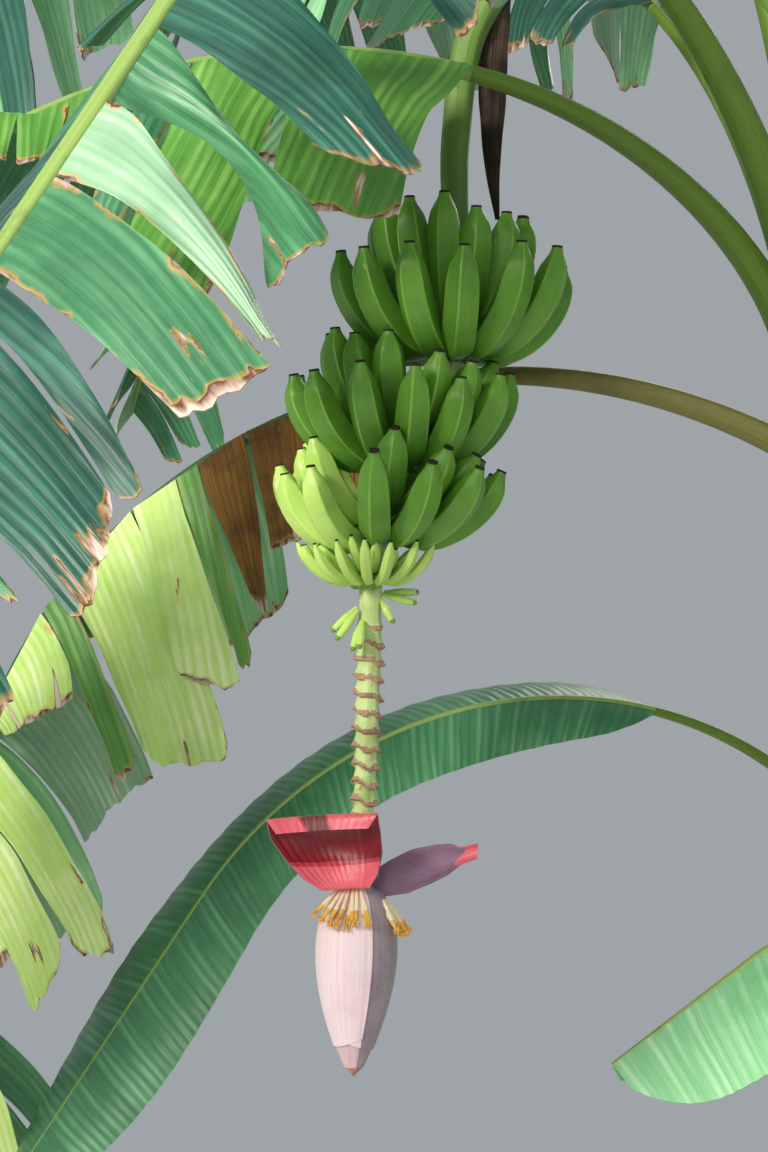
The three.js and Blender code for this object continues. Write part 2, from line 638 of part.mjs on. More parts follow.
// Part of a torn blade from one strip to another, as one closed skin: the midrib is a square bar,
// and each strip that finds room grows out of its side in place of that length of the bar's wall
function tornBlade(rib, seed, from, to, name) {
  const pitch = (rib.spec.length - rib.spec.petiole) / TEAR.strips;
  const gap = 0.5 * TEAR.gap;
  const marks = Array.from({ length: to - from }, (_, i) => [from + i + gap, from + i + 1 - gap]).flat();
  const runs = [from, ...marks, to].map((mark) => rib.spec.petiole + mark * pitch);
  runs[runs.length - 1] -= CLEAR;
  const points = runs.flatMap((run) => midribCorners(rib, run));
  const index = [];
  const quad = (flip, a, b, c, d) => index.push(...(flip ? [c, b, a, d, c, a] : [a, b, c, a, c, d]));
  const strips = [];
  quad(false, 0, 1, 3, 2);
  runs.slice(1).forEach((_, i) => {
    const j = 4 * i;
    const k = j + 4;
    quad(false, j, j + 2, k + 2, k);
    quad(false, j + 1, k + 1, k + 3, j + 3);
    for (const [side, edge] of [[1, 0], [-1, 2]]) {
      const wall = [points.slice(j + edge, j + edge + 2), points.slice(k + edge, k + edge + 2)];
      const rows = i % 2 ? freeStrip(rib, seed, side, from + (i - 1) / 2, strips, wall) : [];
      let at = [j + edge, k + edge, k + edge + 1, j + edge + 1];
      for (const { back, front, thick } of rows) {
        const n = points.length;
        points.push(back.clone().add(thick), front.clone().add(thick));
        points.push(front.clone().sub(thick), back.clone().sub(thick));
        at.forEach((corner, c) => {
          const d = (c + 1) % 4;
          quad(side < 0, corner, at[d], n + d, n + c);
        });
        at = [n, n + 1, n + 2, n + 3];
      }
      quad(side < 0, ...at);
    }
  });
  const end = 4 * (runs.length - 1);
  quad(false, end, end + 2, end + 3, end + 1);
  const geometry = geometryFrom(points.flatMap((point) => [point.x, point.y, point.z]), index);
  place(name, cut(solidFrom(geometry)), 'blade', 0.45);
}

// The longest of a few lengths of a strip that keeps clear of everything placed and of its own blade
function freeStrip(rib, seed, side, index, strips, wall) {
  const root = wall.map(([above, below]) => above.clone().lerp(below, 0.5));
  for (const shorter of TEAR.tries) {
    const rows = stripRows(rib, seed, side, index, shorter);
    const solid = plate([root, ...rows.map(({ back, front }) => [back, front])], TEAR.thick);
    if (!touches(solid) && !strips.some((other) => meets(solid, other))) {
      strips.push(solid);
      return rows;
    }
  }
  return [];
}

// An untorn leaf: one sheet with its sides raised or folded from the rib and curling at the margin
function wholeBlade(rib, from, to, name) {
  const { petiole: bare, length, half, fold } = rib.spec;
  const grid = Array.from({ length: LEAF.rows + 2 }, (_, r) => {
    const share = THREE.MathUtils.lerp(from, to, (r - 1) / (LEAF.rows - 1));
    const run = bare + share * (length - bare) + (r === 1 ? LEAF.split : 0);
    const reach = reachAt(share, half);
    return [-1, -0.5, 0, 0.5, 1].map((side) => {
      const hinge = radians(fold[side > 0 ? 0 : 1] + LEAF.curl * Math.abs(side));
      const outward = rib.left.clone().multiplyScalar(Math.sign(side) * Math.cos(hinge))
        .addScaledVector(rib.up(run), -Math.sin(hinge));
      return rib.at(run).addScaledVector(outward, Math.abs(side) * reach);
    });
  });
  const thick = [LEAF.thick, LEAF.thick, LEAF.spine, LEAF.thick, LEAF.thick];
  place(name, cut(plate(grid, thick, 1)), 'leaf', 0.45);
}

function addStems() {
  place('stem', stemSolid(0), 'sheath', 0.8);
  cutters.push(stemSolid(CLEAR));
  SUCKERS.forEach((sucker) => {
    place(`${sucker.name}_stem`, cut(suckerSolid(sucker, 0)), 'sheath', 0.8);
    cutters.push(suckerSolid(sucker, CLEAR));
  });
}

function addStalk() {
  const pieces = [
    ['stalk_rising', 0, STALK.top, 12],
    ['stalk_hanging', STALK.top, STALK.bunchTop, 8],
    ['stalk_bunch', STALK.bunchTop, 1, 18],
  ];
  const gap = CLEAR / stalkCurve.getLength();
  const grown = [];
  for (const [name, from, to, steps] of pieces) {
    stalks.push(place(name, cut(stalkPiece(from, to - gap, steps, 0)), 'stalk'));
    grown.push(stalkPiece(from, to, steps, 1.6 * CLEAR));
  }
  cutters.push(...grown);
}

function addBunch() {
  HANDS.forEach((spec, i) => {
    place(spec.name, hand(spec, 11 + i), 'fruit', 0.4);
  });
}

// A solid less its neighbour and a thin skin round it, made from copies shifted each way
function clearOf(solid, other) {
  if (!meets(solid, other)) {
    return solid;
  }
  const shifts = [[1, 0, 0], [-1, 0, 0], [0, 1, 0], [0, -1, 0], [0, 0, 1], [0, 0, -1]];
  return shifts.reduce((rest, shift) => {
    return rest.subtract(other.translate(shift.map((value) => value * CLEAR * 1.8)));
  }, solid.subtract(other));
}

function addBud() {
  place('male_bud', cut(bud()), 'bud', 0.5);
  const clear = (solid) => placed.reduce(clearOf, cut(solid));
  BRACTS.forEach((spec) => place(spec.name, clear(bract(spec)), spec.colour, 0.45));
  FLOWERS.forEach((spec) => place(spec.name, clear(flowers(spec)), 'flower'));
}

function addDriedSheath() {
  const grid = DRIED.centre.map(([x, y, z], i) => [-1, 0, 1].map((side) => {
    return vector(x + side * DRIED.widths[i], y + DRIED.cup * side * side, z);
  }));
  place('dried_sheath', cut(plate(grid, DRIED.thick)), 'dried', 0.9);
}

function addPetioles(specs, centre, sizes) {
  return specs.map((spec) => {
    const rib = new Rib(spec, centre);
    place(`${spec.name}_petiole`, cut(petiole(rib, centre, sizes, 0)), 'petiole', 0.5);
    cutters.push(petiole(rib, centre, sizes, CLEAR));
    return rib;
  });
}

function addBlades(ribs) {
  ribs.forEach((rib, i) => {
    tornBlade(rib, i + 1, 0, TEAR.inner, `${rib.spec.name}_blade_inner`);
    tornBlade(rib, i + 1, TEAR.inner, TEAR.strips, `${rib.spec.name}_blade_outer`);
  });
}

function addSuckerLeaves() {
  SUCKERS.forEach((sucker) => {
    const ribs = addPetioles(sucker.leaves, vector(...sucker.top), SUCKER_PETIOLE);
    ribs.forEach((rib) => {
      if (rib.spec.splitAt) {
        wholeBlade(rib, 0, rib.spec.splitAt, `${rib.spec.name}_inner`);
        wholeBlade(rib, rib.spec.splitAt, 1, `${rib.spec.name}_outer`);
      } else {
        wholeBlade(rib, 0, 1, `${rib.spec.name}_blade`);
      }
    });
  });
}

addStems();
addStalk();
addBunch();
addBud();
addDriedSheath();
const ribs = addPetioles(FRONDS, stemAxis(STEM.height), PETIOLE);
addSuckerLeaves();
addBlades(ribs);

export default plant;
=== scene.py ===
"""Looks of a fruiting banana plant: a leaning false stem of sheaths with two suckers, torn arching
fronds, and a hanging bunch of green fruit that ends in a pale bud with two lifted bracts.
Tables are in millimetres and degrees; meshes are in metres."""

import bpy
import numpy as np
from mathutils import Matrix


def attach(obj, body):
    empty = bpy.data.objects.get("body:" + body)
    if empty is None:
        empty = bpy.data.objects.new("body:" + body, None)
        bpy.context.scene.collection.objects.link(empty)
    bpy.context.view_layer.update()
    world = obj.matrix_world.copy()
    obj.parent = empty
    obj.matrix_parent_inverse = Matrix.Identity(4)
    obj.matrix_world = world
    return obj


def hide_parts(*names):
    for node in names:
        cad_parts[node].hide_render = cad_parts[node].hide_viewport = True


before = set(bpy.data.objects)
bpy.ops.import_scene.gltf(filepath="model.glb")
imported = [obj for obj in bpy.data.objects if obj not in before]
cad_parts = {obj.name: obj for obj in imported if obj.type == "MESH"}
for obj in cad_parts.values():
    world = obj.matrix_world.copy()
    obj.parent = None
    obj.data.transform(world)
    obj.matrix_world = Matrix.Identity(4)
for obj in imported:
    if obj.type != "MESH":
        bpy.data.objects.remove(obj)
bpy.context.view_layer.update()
MM = 0.001
EAST, NORTH, SKY = np.eye(3)

# Sizes that the plant grows from

STEM = dict(height=1860, lean=-64, lean_power=1.3, foot=128, throat=82, flare=78, flare_height=110)
# Sheaths of the stem: how far their edges climb in one turn, how high the lowest are dry, how long those
# of the fronds are, half angles at their top and foot, and how far they bulge under the petiole
SHEATHS = dict(climb=1500, dry=330, length=520, narrow=24, broad=118, bulge=15)
STALK = dict(
    thick=26, bunch_thick=17, bud_thick=12, bunch_top=0.6,
    path=[
        [-64, 0, 1800], [-66, 0, 1960], [-104, -6, 2200], [-200, -22, 2390], [-330, -40, 2450],
        [-455, -52, 2400], [-545, -58, 2290], [-570, -60, 2150], [-571, -60, 2030], [-571, -60, 1900],
        [-600, -60, 1800], [-650, -60, 1720], [-674, -60, 1610], [-678, -60, 1500], [-684, -60, 1340],
        [-692, -60, 1222],
    ],
)
# Scars of fallen bracts: where they begin and end, how far apart and how high they are
SCARS = dict(top=1560, bottom=1224, pitch=22, height=8.5)

# Hands of fruit: height, middle azimuth and spread, fingers in the lower row, finger length and
# girth, slopes at a finger's root and tip, how far each finger gives way to its neighbours, and
# whether its skin is the brighter copy that paints sunlight on it
HANDS = [
    dict(height=1880, middle=-72, spread=312, count=12, finger=190, girth=42, slope=(2, 84),
         picks="00000000000000000000000", painted_sunlight=False),
    dict(height=1742, middle=-128, spread=262, count=10, finger=178, girth=41, slope=(4, 80),
         picks="0000000000000000222", painted_sunlight=False),
    dict(height=1656, middle=-8, spread=172, count=7, finger=184, girth=40, slope=(-6, 66),
         picks="0000000122301", painted_sunlight=False),
    dict(height=1638, middle=186, spread=146, count=6, finger=158, girth=37, slope=(8, 78),
         picks="00000-1111-", painted_sunlight=True),
    dict(height=1594, middle=-128, spread=190, count=10, finger=100, girth=14, slope=(-2, 66),
         picks="0000000000332342344", painted_sunlight=True),
]
# How a hand is set on the stalk: reach of the fingers' roots, rise and slope of the upper row, and
# reach, height and half thickness of the bar that holds them
HAND = dict(root=14, rise=26, turn=36, bar_reach=20, bar_rise=9, bar_half=15)
# A finger turns up between these shares of its length
FINGER_BEND = (0.16, 0.95)
# Share of its length that a finger keeps and degrees that it sinks, for each pick
FINGER_TRIES = [(1, 0), (0.96, 12), (0.9, 24), (0.8, 30), (0.7, 36)]
FINGER_SHARES = [0, 0.05, 0.11, 0.17, 0.25, 0.38, 0.54, 0.7, 0.8, 0.87, 0.92, 0.96, 1]
FINGER_WIDTHS = [0.42, 0.4, 0.5, 0.78, 0.96, 1, 1, 0.98, 0.92, 0.78, 0.56, 0.36, 0.3]
# Root and tip of each loose finger below the last hand
LOOSE_FINGERS = [
    [(-694, -66, 1561), (-725, -76, 1531)], [(-692, -70, 1558), (-719, -84, 1521)],
    [(-688, -76, 1544), (-699, -92, 1508)], [(-686, -78, 1545), (-690, -96, 1511)],
    [(-664, -64, 1578), (-619, -70, 1566)], [(-664, -66, 1572), (-648, -78, 1542)],
    [(-660, -62, 1580), (-616, -60, 1580)],
]

# Bud: height of both ends, radius, radii of neck and tip, place and lean of the axis, and the share of
# it that is neck
BUD = dict(top=1221.6, tip=975, radius=50, neck=13, end=2, x=-692, shift=-6, y=-60, held=0.04)
# Lifted bracts: points of the keel, half widths and rise of the sides at those points (or at even steps
# where there are more), the ways across and out of the face, and whether the end rolls into a tube
BRACT_LEFT = dict(
    keel=[[-698, -71, 1219], [-707, -102, 1217], [-713, -100, 1233], [-722, -88, 1258],
          [-731, -88, 1282], [-735, -102, 1303], [-735, -120, 1306], [-735, -127, 1290]],
    widths=[14, 30, 46, 60, 67, 68, 67, 56], cup=[2, 8, 18, 28, 30, 22, 14, 8],
    across=[1, 0, 0.06], face=[0, -1.0, 0], tube=0,
)
BRACT_RIGHT = dict(
    keel=[[-684, -60, 1212], [-650, -58, 1223], [-600, -60, 1239], [-543, -62, 1256]],
    widths=[12, 22, 27, 24, 18, 15], cup=[0, 8, 13, 14, 13, 11],
    across=[0.1, 0.25, 1], face=[0, 1, -0.1], tube=1,
)
FLOWERS_LEFT = dict(root=[-702, -82, 1214], way=[-0.22, -0.62, -0.75], across=[1.0, 0, 0], count=13,
                    pitch=1.8, length=49, seed=61)
FLOWERS_RIGHT = dict(root=[-661, -70, 1196], way=[0.55, -0.3, -0.8], across=[0.3, 0.9, 0], count=8,
                     pitch=1.6, length=44, seed=67)
DRIED = dict(path=[[-516, -52, 2352], [-522, -54, 2270], [-524, -56, 2190], [-524, -58, 2110],
                   [-518, -60, 2046]], widths=[17, 18, 17, 10, 1.5])

# Fronds: seat (azimuth, reach, height of the root), compass of the rib, slopes at root and tip,
# share and bend of the turn, bare run and whole run, widest reach, fold and strip lean of each side,
# strip lengths (left, right) and strip colours (left, right). USUAL holds what is the same for most:
# slope that strips hang to, share left whole, how loosely parts hang, dryness, stoutness of the rib,
# width of the left half at the base of a sucker leaf, finishes of stalk and rib, and for strips of
# the left side their parts: edges, length, drift, narrowing, pinch and colour.
USUAL = dict(petiole=600, half=280, hang=76, whole=0.12, loose=1, dry=1, stout=1, slim=1, cuts={},
             brown_stalk=False, dark_rib=False)
# The letters of dress and cuts paint light and shade strip by strip: d painted shade, l and g painted
# light, s painted sunlight
FRONDS = [
    dict(seat=(-158, 77, 1860), heading=-163, lift=80, droop=84, fall=0.94, bend=0.67,
         petiole=590, length=2250, half=290, fold=(62, 16), lean=(52, 60),
         tries=("00-0000-", "000-0020"), dress=("ggglmlll", "gmdmdddm"), whole=0.4, loose=0.6, cuts={
             0: [(-1, 1, 1.06, -0.35, -0.15, 0, "g")],
             1: [(-1, 0.3, 1.08, -0.3, -0.25, 0, "g"), (0.32, 1, 0.95, 0, 0.2, 0, "m")],
         }),
    dict(seat=(-124, 77, 1860), heading=-138, lift=65, droop=54, fall=0.54, bend=1.6,
         petiole=640, length=2300, half=300, fold=(20, 10), lean=(84, 70), hang=50, dry=1.2,
         tries=("00000000", "00000000"), dress=("ddddmddm", "lpdmddmd"), stout=1.5, cuts={
             2: [(-1, 0, 1.05, 0.1, 0.2, 0, "d"), (0.02, 1, 1.0, 0.1, 0.3, 0.2, "m")],
             3: [(-1, 0.12, 0.92, 0.25, 0.26, 0, "d"), (0.14, 1, 1.0, 0.4, 0.1, 0.7, "m")],
             4: [(-1, -0.1, 1.0, 0.1, 0.84, 0.3, "p"), (-0.08, 1, 1.18, -0.22, 0.05, 0, "m")],
             5: [(-1, -0.62, 0.88, 0.35, 0.3, 0, "d"), (-0.6, 0.74, 1.02, 0.12, 0.25, 0, "d"),
                 (0.76, 1, 0.85, 0.1, 0.5, 0, "m")],
         }),
    dict(seat=(162, 80, 1770), heading=167, lift=29, droop=84, fall=0.74, bend=1, brown_stalk=True,
         petiole=560, length=2100, half=300, fold=(70, 30), lean=(84, 62), dark_rib=True,
         tries=("000-0-0-", "00300-0-"), dress=("bsssssss", "mmmlmmdd"), whole=0.5, loose=0.35, cuts={
             0: [(-1, 1, 0.95, 0, 0.1, 0, "b")],
             1: [(-1, -0.2, 0.75, -0.1, 0.7, 0, "b"), (-0.18, 0.2, 1.0, -0.3, 0.3, 0, "g"),
                 (0.22, 1, 1.05, -0.25, -0.3, 0, "s")],
             2: [(-1, 0.5, 1.0, -0.2, -0.1, 0, "s"), (0.52, 1, 0.95, -0.1, 0.1, 0, "g")],
             4: [(-1, -0.1, 0.95, -0.1, 0.1, 0, "s"), (-0.08, 1, 1.0, -0.1, 0.1, 0, "s")],
         }),
    dict(seat=(178, 48, 1890), heading=-177, lift=86, droop=66, fall=0.7, bend=2,
         petiole=560, length=2350, half=290, fold=(46, 24), lean=(76, 56),
         tries=("00000311", "0000-00-"), dress=("llmmslmm", "mdmmdmmd")),
    dict(seat=(-78, 74, 1850), heading=-72, lift=74, droop=72, fall=0.85, bend=0.9,
         length=2200, fold=(34, 42), lean=(78, 56),
         tries=("000000-0", "000000-0"), dress=("mlmdmlms", "dmmldmsm")),
    dict(seat=(-34, 72, 1862), heading=-28, lift=82, droop=60, fall=0.8, bend=1.1,
         length=2350, half=300, fold=(30, 22), lean=(80, 58), dark_rib=True,
         tries=("00000200", "00000-00"), dress=("mmlmdmmm", "lmmdmlmb")),
    dict(seat=(12, 76, 1840), heading=15, lift=66, droop=78, fall=0.8, bend=0.8,
         petiole=560, length=2150, fold=(48, 36), lean=(78, 60),
         tries=("00-00000", "00000-0-"), dress=("dmmmslbm", "mdmlmmsm")),
    dict(seat=(58, 70, 1862), heading=64, lift=80, droop=66, fall=0.85, bend=1.05,
         length=2300, half=300, fold=(26, 34), lean=(80, 56), dark_rib=True,
         tries=("00002010", "0000100-"), dress=("mmdmlmmd", "mlmdmmms")),
    dict(seat=(118, 72, 1855), heading=136, lift=78, droop=66, fall=0.8, bend=1.4,
         length=2200, fold=(30, 40), lean=(78, 58),
         tries=("00000-01", "000103-0"), dress=("dmmldmmm", "mmldmmsd")),
]
# Share of its length that a strip of the solids keeps, for each letter of its tries
STRIP_TRIES = {"0": 1, "1": 0.8, "2": 0.6, "3": 0.42, "-": 0.26}
STRIPS = 8
# Widths of petiole and rib at the root, at the blade's base and at the tip, how deep they are for
# their width, and how far the petiole goes down into the throat
PETIOLE = dict(root=60, end=30, tip=8, depth=0.72, sheath=190)
MIDRIB = dict(root=60, end=26, tip=8)
SUCKER_PETIOLE = dict(root=34, end=20, tip=6, depth=0.75, sheath=110)
SUCKER_LEAF_CURL = 14
STRIP_THICK = 1.3
LEAF_THICK = 1.4

# Suckers: foot and top of the axis, radius at both, flare, and leaves like fronds, with the letters of
# their two halves and the endings of their blade's nodes
# The letter l of a sucker leaf's half is painted light
SUCKERS = [
    dict(name="sucker_a", foot=(145, 282), top=(100, 300, 1120), radius=(70, 42), flare=56, leaves=[
        dict(seat=(-172, 38, 1123), heading=-172, lift=68, droop=56, fall=0.725, bend=0.9, petiole=470,
             length=1640, half=130, fold=(34, -22), slim=0.7, dress="mm", nodes=("_inner", "_outer")),
        dict(seat=(-20, 36, 1125), heading=-8, lift=78, droop=60, fall=0.9, bend=0.9, petiole=320,
             length=1350, half=150, fold=(18, 24), dress="ml", nodes=("_blade",)),
        dict(seat=(80, 36, 1110), heading=78, lift=66, droop=66, fall=0.9, bend=0.8, petiole=300,
             length=1300, half=145, fold=(26, 20), dress="mm", nodes=("_blade",)),
    ]),
    dict(name="sucker_b", foot=(164, -250), top=(130, -260, 820), radius=(64, 38), flare=52, leaves=[
        dict(seat=(-172, 34, 860), heading=-172, lift=87, droop=35, fall=0.74, bend=1.64, petiole=330,
             length=770, half=150, fold=(12, 30), dress="lm", nodes=("_blade",)),
        dict(seat=(-70, 34, 815), heading=-62, lift=72, droop=62, fall=0.9, bend=0.9, petiole=280,
             length=1150, half=140, fold=(24, 20), dress="lm", nodes=("_blade",)),
        dict(seat=(20, 34, 800), heading=8, lift=66, droop=58, fall=0.9, bend=0.9, petiole=270,
             length=1100, half=140, fold=(20, 26), dress="ml", nodes=("_blade",)),
    ]),
]


# Arrays and meshes

def chance(seed, index):
    """Repeatable number from 0 to 1: what is left of a large sine after its whole part."""
    wave = np.sin(seed * 12.9898 + np.asarray(index, float) * 78.233) * 43758.5453
    return wave - np.floor(wave)


def lerp(a, b, share):
    return a + (b - a) * share


def unit(way):
    return way / np.linalg.norm(way, axis=-1, keepdims=True)


def turned(way, axis, angle):
    """A way square to the axis, turned about it: way times cosine plus axis-cross-way times sine."""
    angle = np.asarray(angle)[..., None]
    return way * np.cos(angle) + np.cross(axis, way) * np.sin(angle)


def aimed(slope, compass):
    """Unit ways with these slopes and compass headings, both in radians."""
    flat = np.cos(slope)
    return np.stack([flat * np.cos(compass), flat * np.sin(compass), np.sin(slope)], -1)


def read_line(place, marks, points):
    """Points of a line at some places, on the straight way between its marked points."""
    return np.stack([np.interp(place, marks, points[:, i]) for i in range(3)], -1)


def runs_of(points):
    """Way along a line to each of its points: the sum of the steps between them."""
    return np.concatenate([[0], np.cumsum(np.linalg.norm(np.diff(points, axis=0), axis=1))])


def normals(grid):
    """Unit normals of a grid of points: slope down the rows crossed with slope along the columns."""
    return unit(np.cross(np.gradient(grid, axis=0), np.gradient(grid, axis=1)))


def ring(sides):
    return np.linspace(0, 2 * np.pi, sides, endpoint=False)


def round_outline(wide, angle):
    return np.stack([wide * np.cos(angle), wide * np.sin(angle)], -1)


def together(*values):
    """One array of several values, each of which may be the same along rows or columns."""
    return np.stack(np.broadcast_arrays(*values), -1)


def squares(rows, columns, closed=False):
    """Four corner numbers of every face of a grid; a closed grid joins its last column to its first."""
    row = np.arange(rows - 1)[:, None] * columns
    left = np.arange(columns if closed else columns - 1)[None, :]
    right = (left + 1) % columns
    return np.stack([row + left, row + columns + left, row + columns + right, row + right], -1)


def sheet(grid, thick, uv, kinds, under=None):
    """Closed thin sheet: the grid moved half its thickness each way along its normals, and a rim.
    kinds gives the finish of the faces on the normals' side and of the rim, under that of the others."""
    rows, columns = grid.shape[:2]
    way = normals(grid) * (thick / 2)
    points = np.concatenate([(grid + way).reshape(-1, 3), (grid - way).reshape(-1, 3)])
    top = squares(rows, columns).reshape(-1, 4)
    kinds = np.broadcast_to(kinds, (rows - 1, columns - 1))
    under = kinds if under is None else np.broadcast_to(under, kinds.shape)
    number = np.arange(rows * columns).reshape(rows, columns)
    loop = np.concatenate([number[0, :-1], number[:-1, -1], number[-1, :0:-1], number[:0:-1, 0]])
    line = np.stack([loop, np.roll(loop, -1)], -1)
    down = rows * columns
    faces = np.concatenate([top, top[:, ::-1] + down, np.concatenate([line, line[:, ::-1] + down], 1)])
    rim_kinds = [kinds[0], kinds[:, -1], kinds[-1, ::-1], kinds[::-1, 0]]
    every = np.concatenate([kinds.ravel(), under.ravel(), *rim_kinds])
    flat = uv.reshape(-1, uv.shape[-1])
    return points, faces, every, np.concatenate([flat, flat])


def rod(centre, across, up, outline, girth_scale, kinds):
    """Closed rod: at each point of its line a ring of the outline, whose two numbers are measured
    along across and up; each end closes on a point in the ring's middle. girth_scale is the surface
    coordinate half-way round it."""
    rows, sides = outline.shape[:2]
    across = np.broadcast_to(across, centre.shape)[:, None]
    up = np.broadcast_to(up, centre.shape)[:, None]
    rings = centre[:, None] + across * outline[..., :1] + up * outline[..., 1:]
    points = np.concatenate([rings.reshape(-1, 3), centre[[0, -1]]])
    skin = squares(rows, sides, closed=True)[..., ::-1].reshape(-1, 4)
    first = np.arange(sides)
    after = np.roll(first, -1)
    none = np.full(sides, -1)
    last = (rows - 1) * sides
    tip = np.full(sides, rows * sides)
    start = np.stack([after, first, tip, none], -1)
    end = np.stack([first + last, after + last, tip + 1, none], -1)
    kinds = np.broadcast_to(kinds, (rows - 1, sides))
    every = np.concatenate([kinds.ravel(), kinds[0], kinds[-1]])
    run = runs_of(centre)[:, None] / 100
    girth = np.abs(np.linspace(-1, 1, sides, endpoint=False)) * girth_scale
    uv = np.concatenate([together(girth, run).reshape(-1, 2), [[0, 0], [0, run[-1, 0]]]])
    return points, np.concatenate([skin, start, end]), every, uv


def placed(name, data):
    made = bpy.data.objects.new(name, data)
    bpy.context.scene.collection.objects.link(made)
    return made


def piece(name, patches, finishes, nodes, crease=55):
    """One mesh of several patches that stands for the named solids, hides them and takes the given
    finishes.
    """
    points, faces, kinds, uv = zip(*patches)
    starts = np.cumsum([0] + [len(part) for part in points])
    faces = np.concatenate([np.where(part < 0, -1, part + start) for part, start in zip(faces, starts)])
    points = np.concatenate(points) * MM
    kinds = np.concatenate(kinds)
    uv = np.concatenate([np.pad(part, ((0, 0), (0, 4 - part.shape[1])), constant_values=1) for part in uv])
    corners = faces[faces >= 0]
    counts = (faces >= 0).sum(1)
    mesh = bpy.data.meshes.new(name)
    mesh.vertices.add(len(points))
    mesh.vertices.foreach_set("co", points.astype(np.float32).ravel())
    mesh.loops.add(len(corners))
    mesh.loops.foreach_set("vertex_index", corners.astype(np.int32))
    mesh.polygons.add(len(faces))
    mesh.polygons.foreach_set("loop_start", (np.cumsum(counts) - counts).astype(np.int32))
    mesh.polygons.foreach_set("material_index", kinds.astype(np.int32))
    mesh.polygons.foreach_set("use_smooth", np.ones(len(faces), bool))
    for layer, pair in (("surface", uv[:, :2]), ("margin", uv[:, 2:])):
        mesh.uv_layers.new(name=layer).data.foreach_set("uv", pair[corners].astype(np.float32).ravel())
    mesh.update(calc_edges=True)
    mesh.set_sharp_from_angle(angle=np.radians(crease))
    for material in finishes:
        mesh.materials.append(material)
    made = placed(name, mesh)
    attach(made, "root")
    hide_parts(*nodes)


# Shader nodes

def paint(code):
    """Linear colour of a six-figure hex code."""
    shade = np.array([int(code[i:i + 2], 16) / 255 for i in (0, 2, 4)])
    linear = np.where(shade <= 0.04045, shade / 12.92, ((shade + 0.055) / 1.055) ** 2.4)
    return (*linear, 1)


def node(tree, kind, inputs, **settings):
    """A shader node whose inputs are plain values or outputs of other nodes."""
    made = tree.nodes.new("ShaderNode" + kind)
    for key, value in settings.items():
        setattr(made, key, value)
    for key, value in inputs.items():
        if isinstance(value, bpy.types.NodeSocket):
            tree.links.new(value, made.inputs[key])
        else:
            made.inputs[key].default_value = value
    return made


def maths(tree, operation, *values):
    return node(tree, "Math", dict(enumerate(values)), operation=operation).outputs[0]


def span(tree, value, low, high, start=0.0, end=1.0):
    """What a value is worth between two levels: from start at the first to end at the second."""
    levels = {"Value": value, "From Min": low, "From Max": high, "To Min": start, "To Max": end}
    return node(tree, "MapRange", levels).outputs[0]


def mixed(tree, share, a, b):
    return node(tree, "Mix", {0: share, 6: a, 7: b}, data_type="RGBA").outputs[2]


def noise(tree, place, scale, detail, rough=0.5):
    inputs = {"Vector": place, "Scale": scale, "Detail": detail, "Roughness": rough}
    return node(tree, "TexNoise", inputs).outputs[0]


def surface(tree, across, along):
    """Surface coordinates, multiplied across and along the fibres."""
    place = node(tree, "UVMap", {}, uv_map="surface").outputs[0]
    scale = node(tree, "CombineXYZ", {"X": across, "Y": along}).outputs[0]
    return node(tree, "VectorMath", {0: place, 1: scale}, operation="MULTIPLY").outputs[0]


def fibres(tree, given):
    """Fine lines along the fibres: noise on surface coordinates squeezed across the fibres."""
    place = surface(tree, given["Across"], given["Along"])
    lines = span(tree, noise(tree, place, 1.0, 3.0, 0.6), 0.35, 0.68)
    share = maths(tree, "MULTIPLY", lines, given["Amount"])
    return mixed(tree, share, given["Colour"], given["Line"]), lines


def mottles(tree, given):
    """Soft patches of a second colour: noise through the object's space, cut between two levels."""
    space = node(tree, "TexCoord", {}).outputs["Object"]
    cloud = noise(tree, space, given["Scale"], 5.0, 0.62)
    top = maths(tree, "ADD", given["Level"], given["Soft"])
    mask = span(tree, cloud, given["Level"], top)
    share = maths(tree, "MULTIPLY", mask, given["Amount"])
    return mixed(tree, share, given["Colour"], given["Patch"]), mask


def pleats(tree, given):
    """Pleats of a blade between its veins: a sine across the surface coordinates, wavered by noise,
    and a painted highlight: streaks of the light colour on the pleats' crests where slow noise is high."""
    slow = noise(tree, surface(tree, 4.0, 0.5), 1.0, 2.0)
    across = node(tree, "SeparateXYZ", {0: surface(tree, 1.0, 1.0)}).outputs[0]
    turn = maths(tree, "MULTIPLY", maths(tree, "MULTIPLY_ADD", slow, 0.12, across), given["Count"])
    height = span(tree, maths(tree, "SINE", turn), -1.0, 1.0)
    lit = maths(tree, "MULTIPLY", span(tree, slow, 0.42, 0.66), height)
    share = maths(tree, "MULTIPLY", lit, given["Amount"])
    return mixed(tree, share, given["Colour"], given["Light"]), height


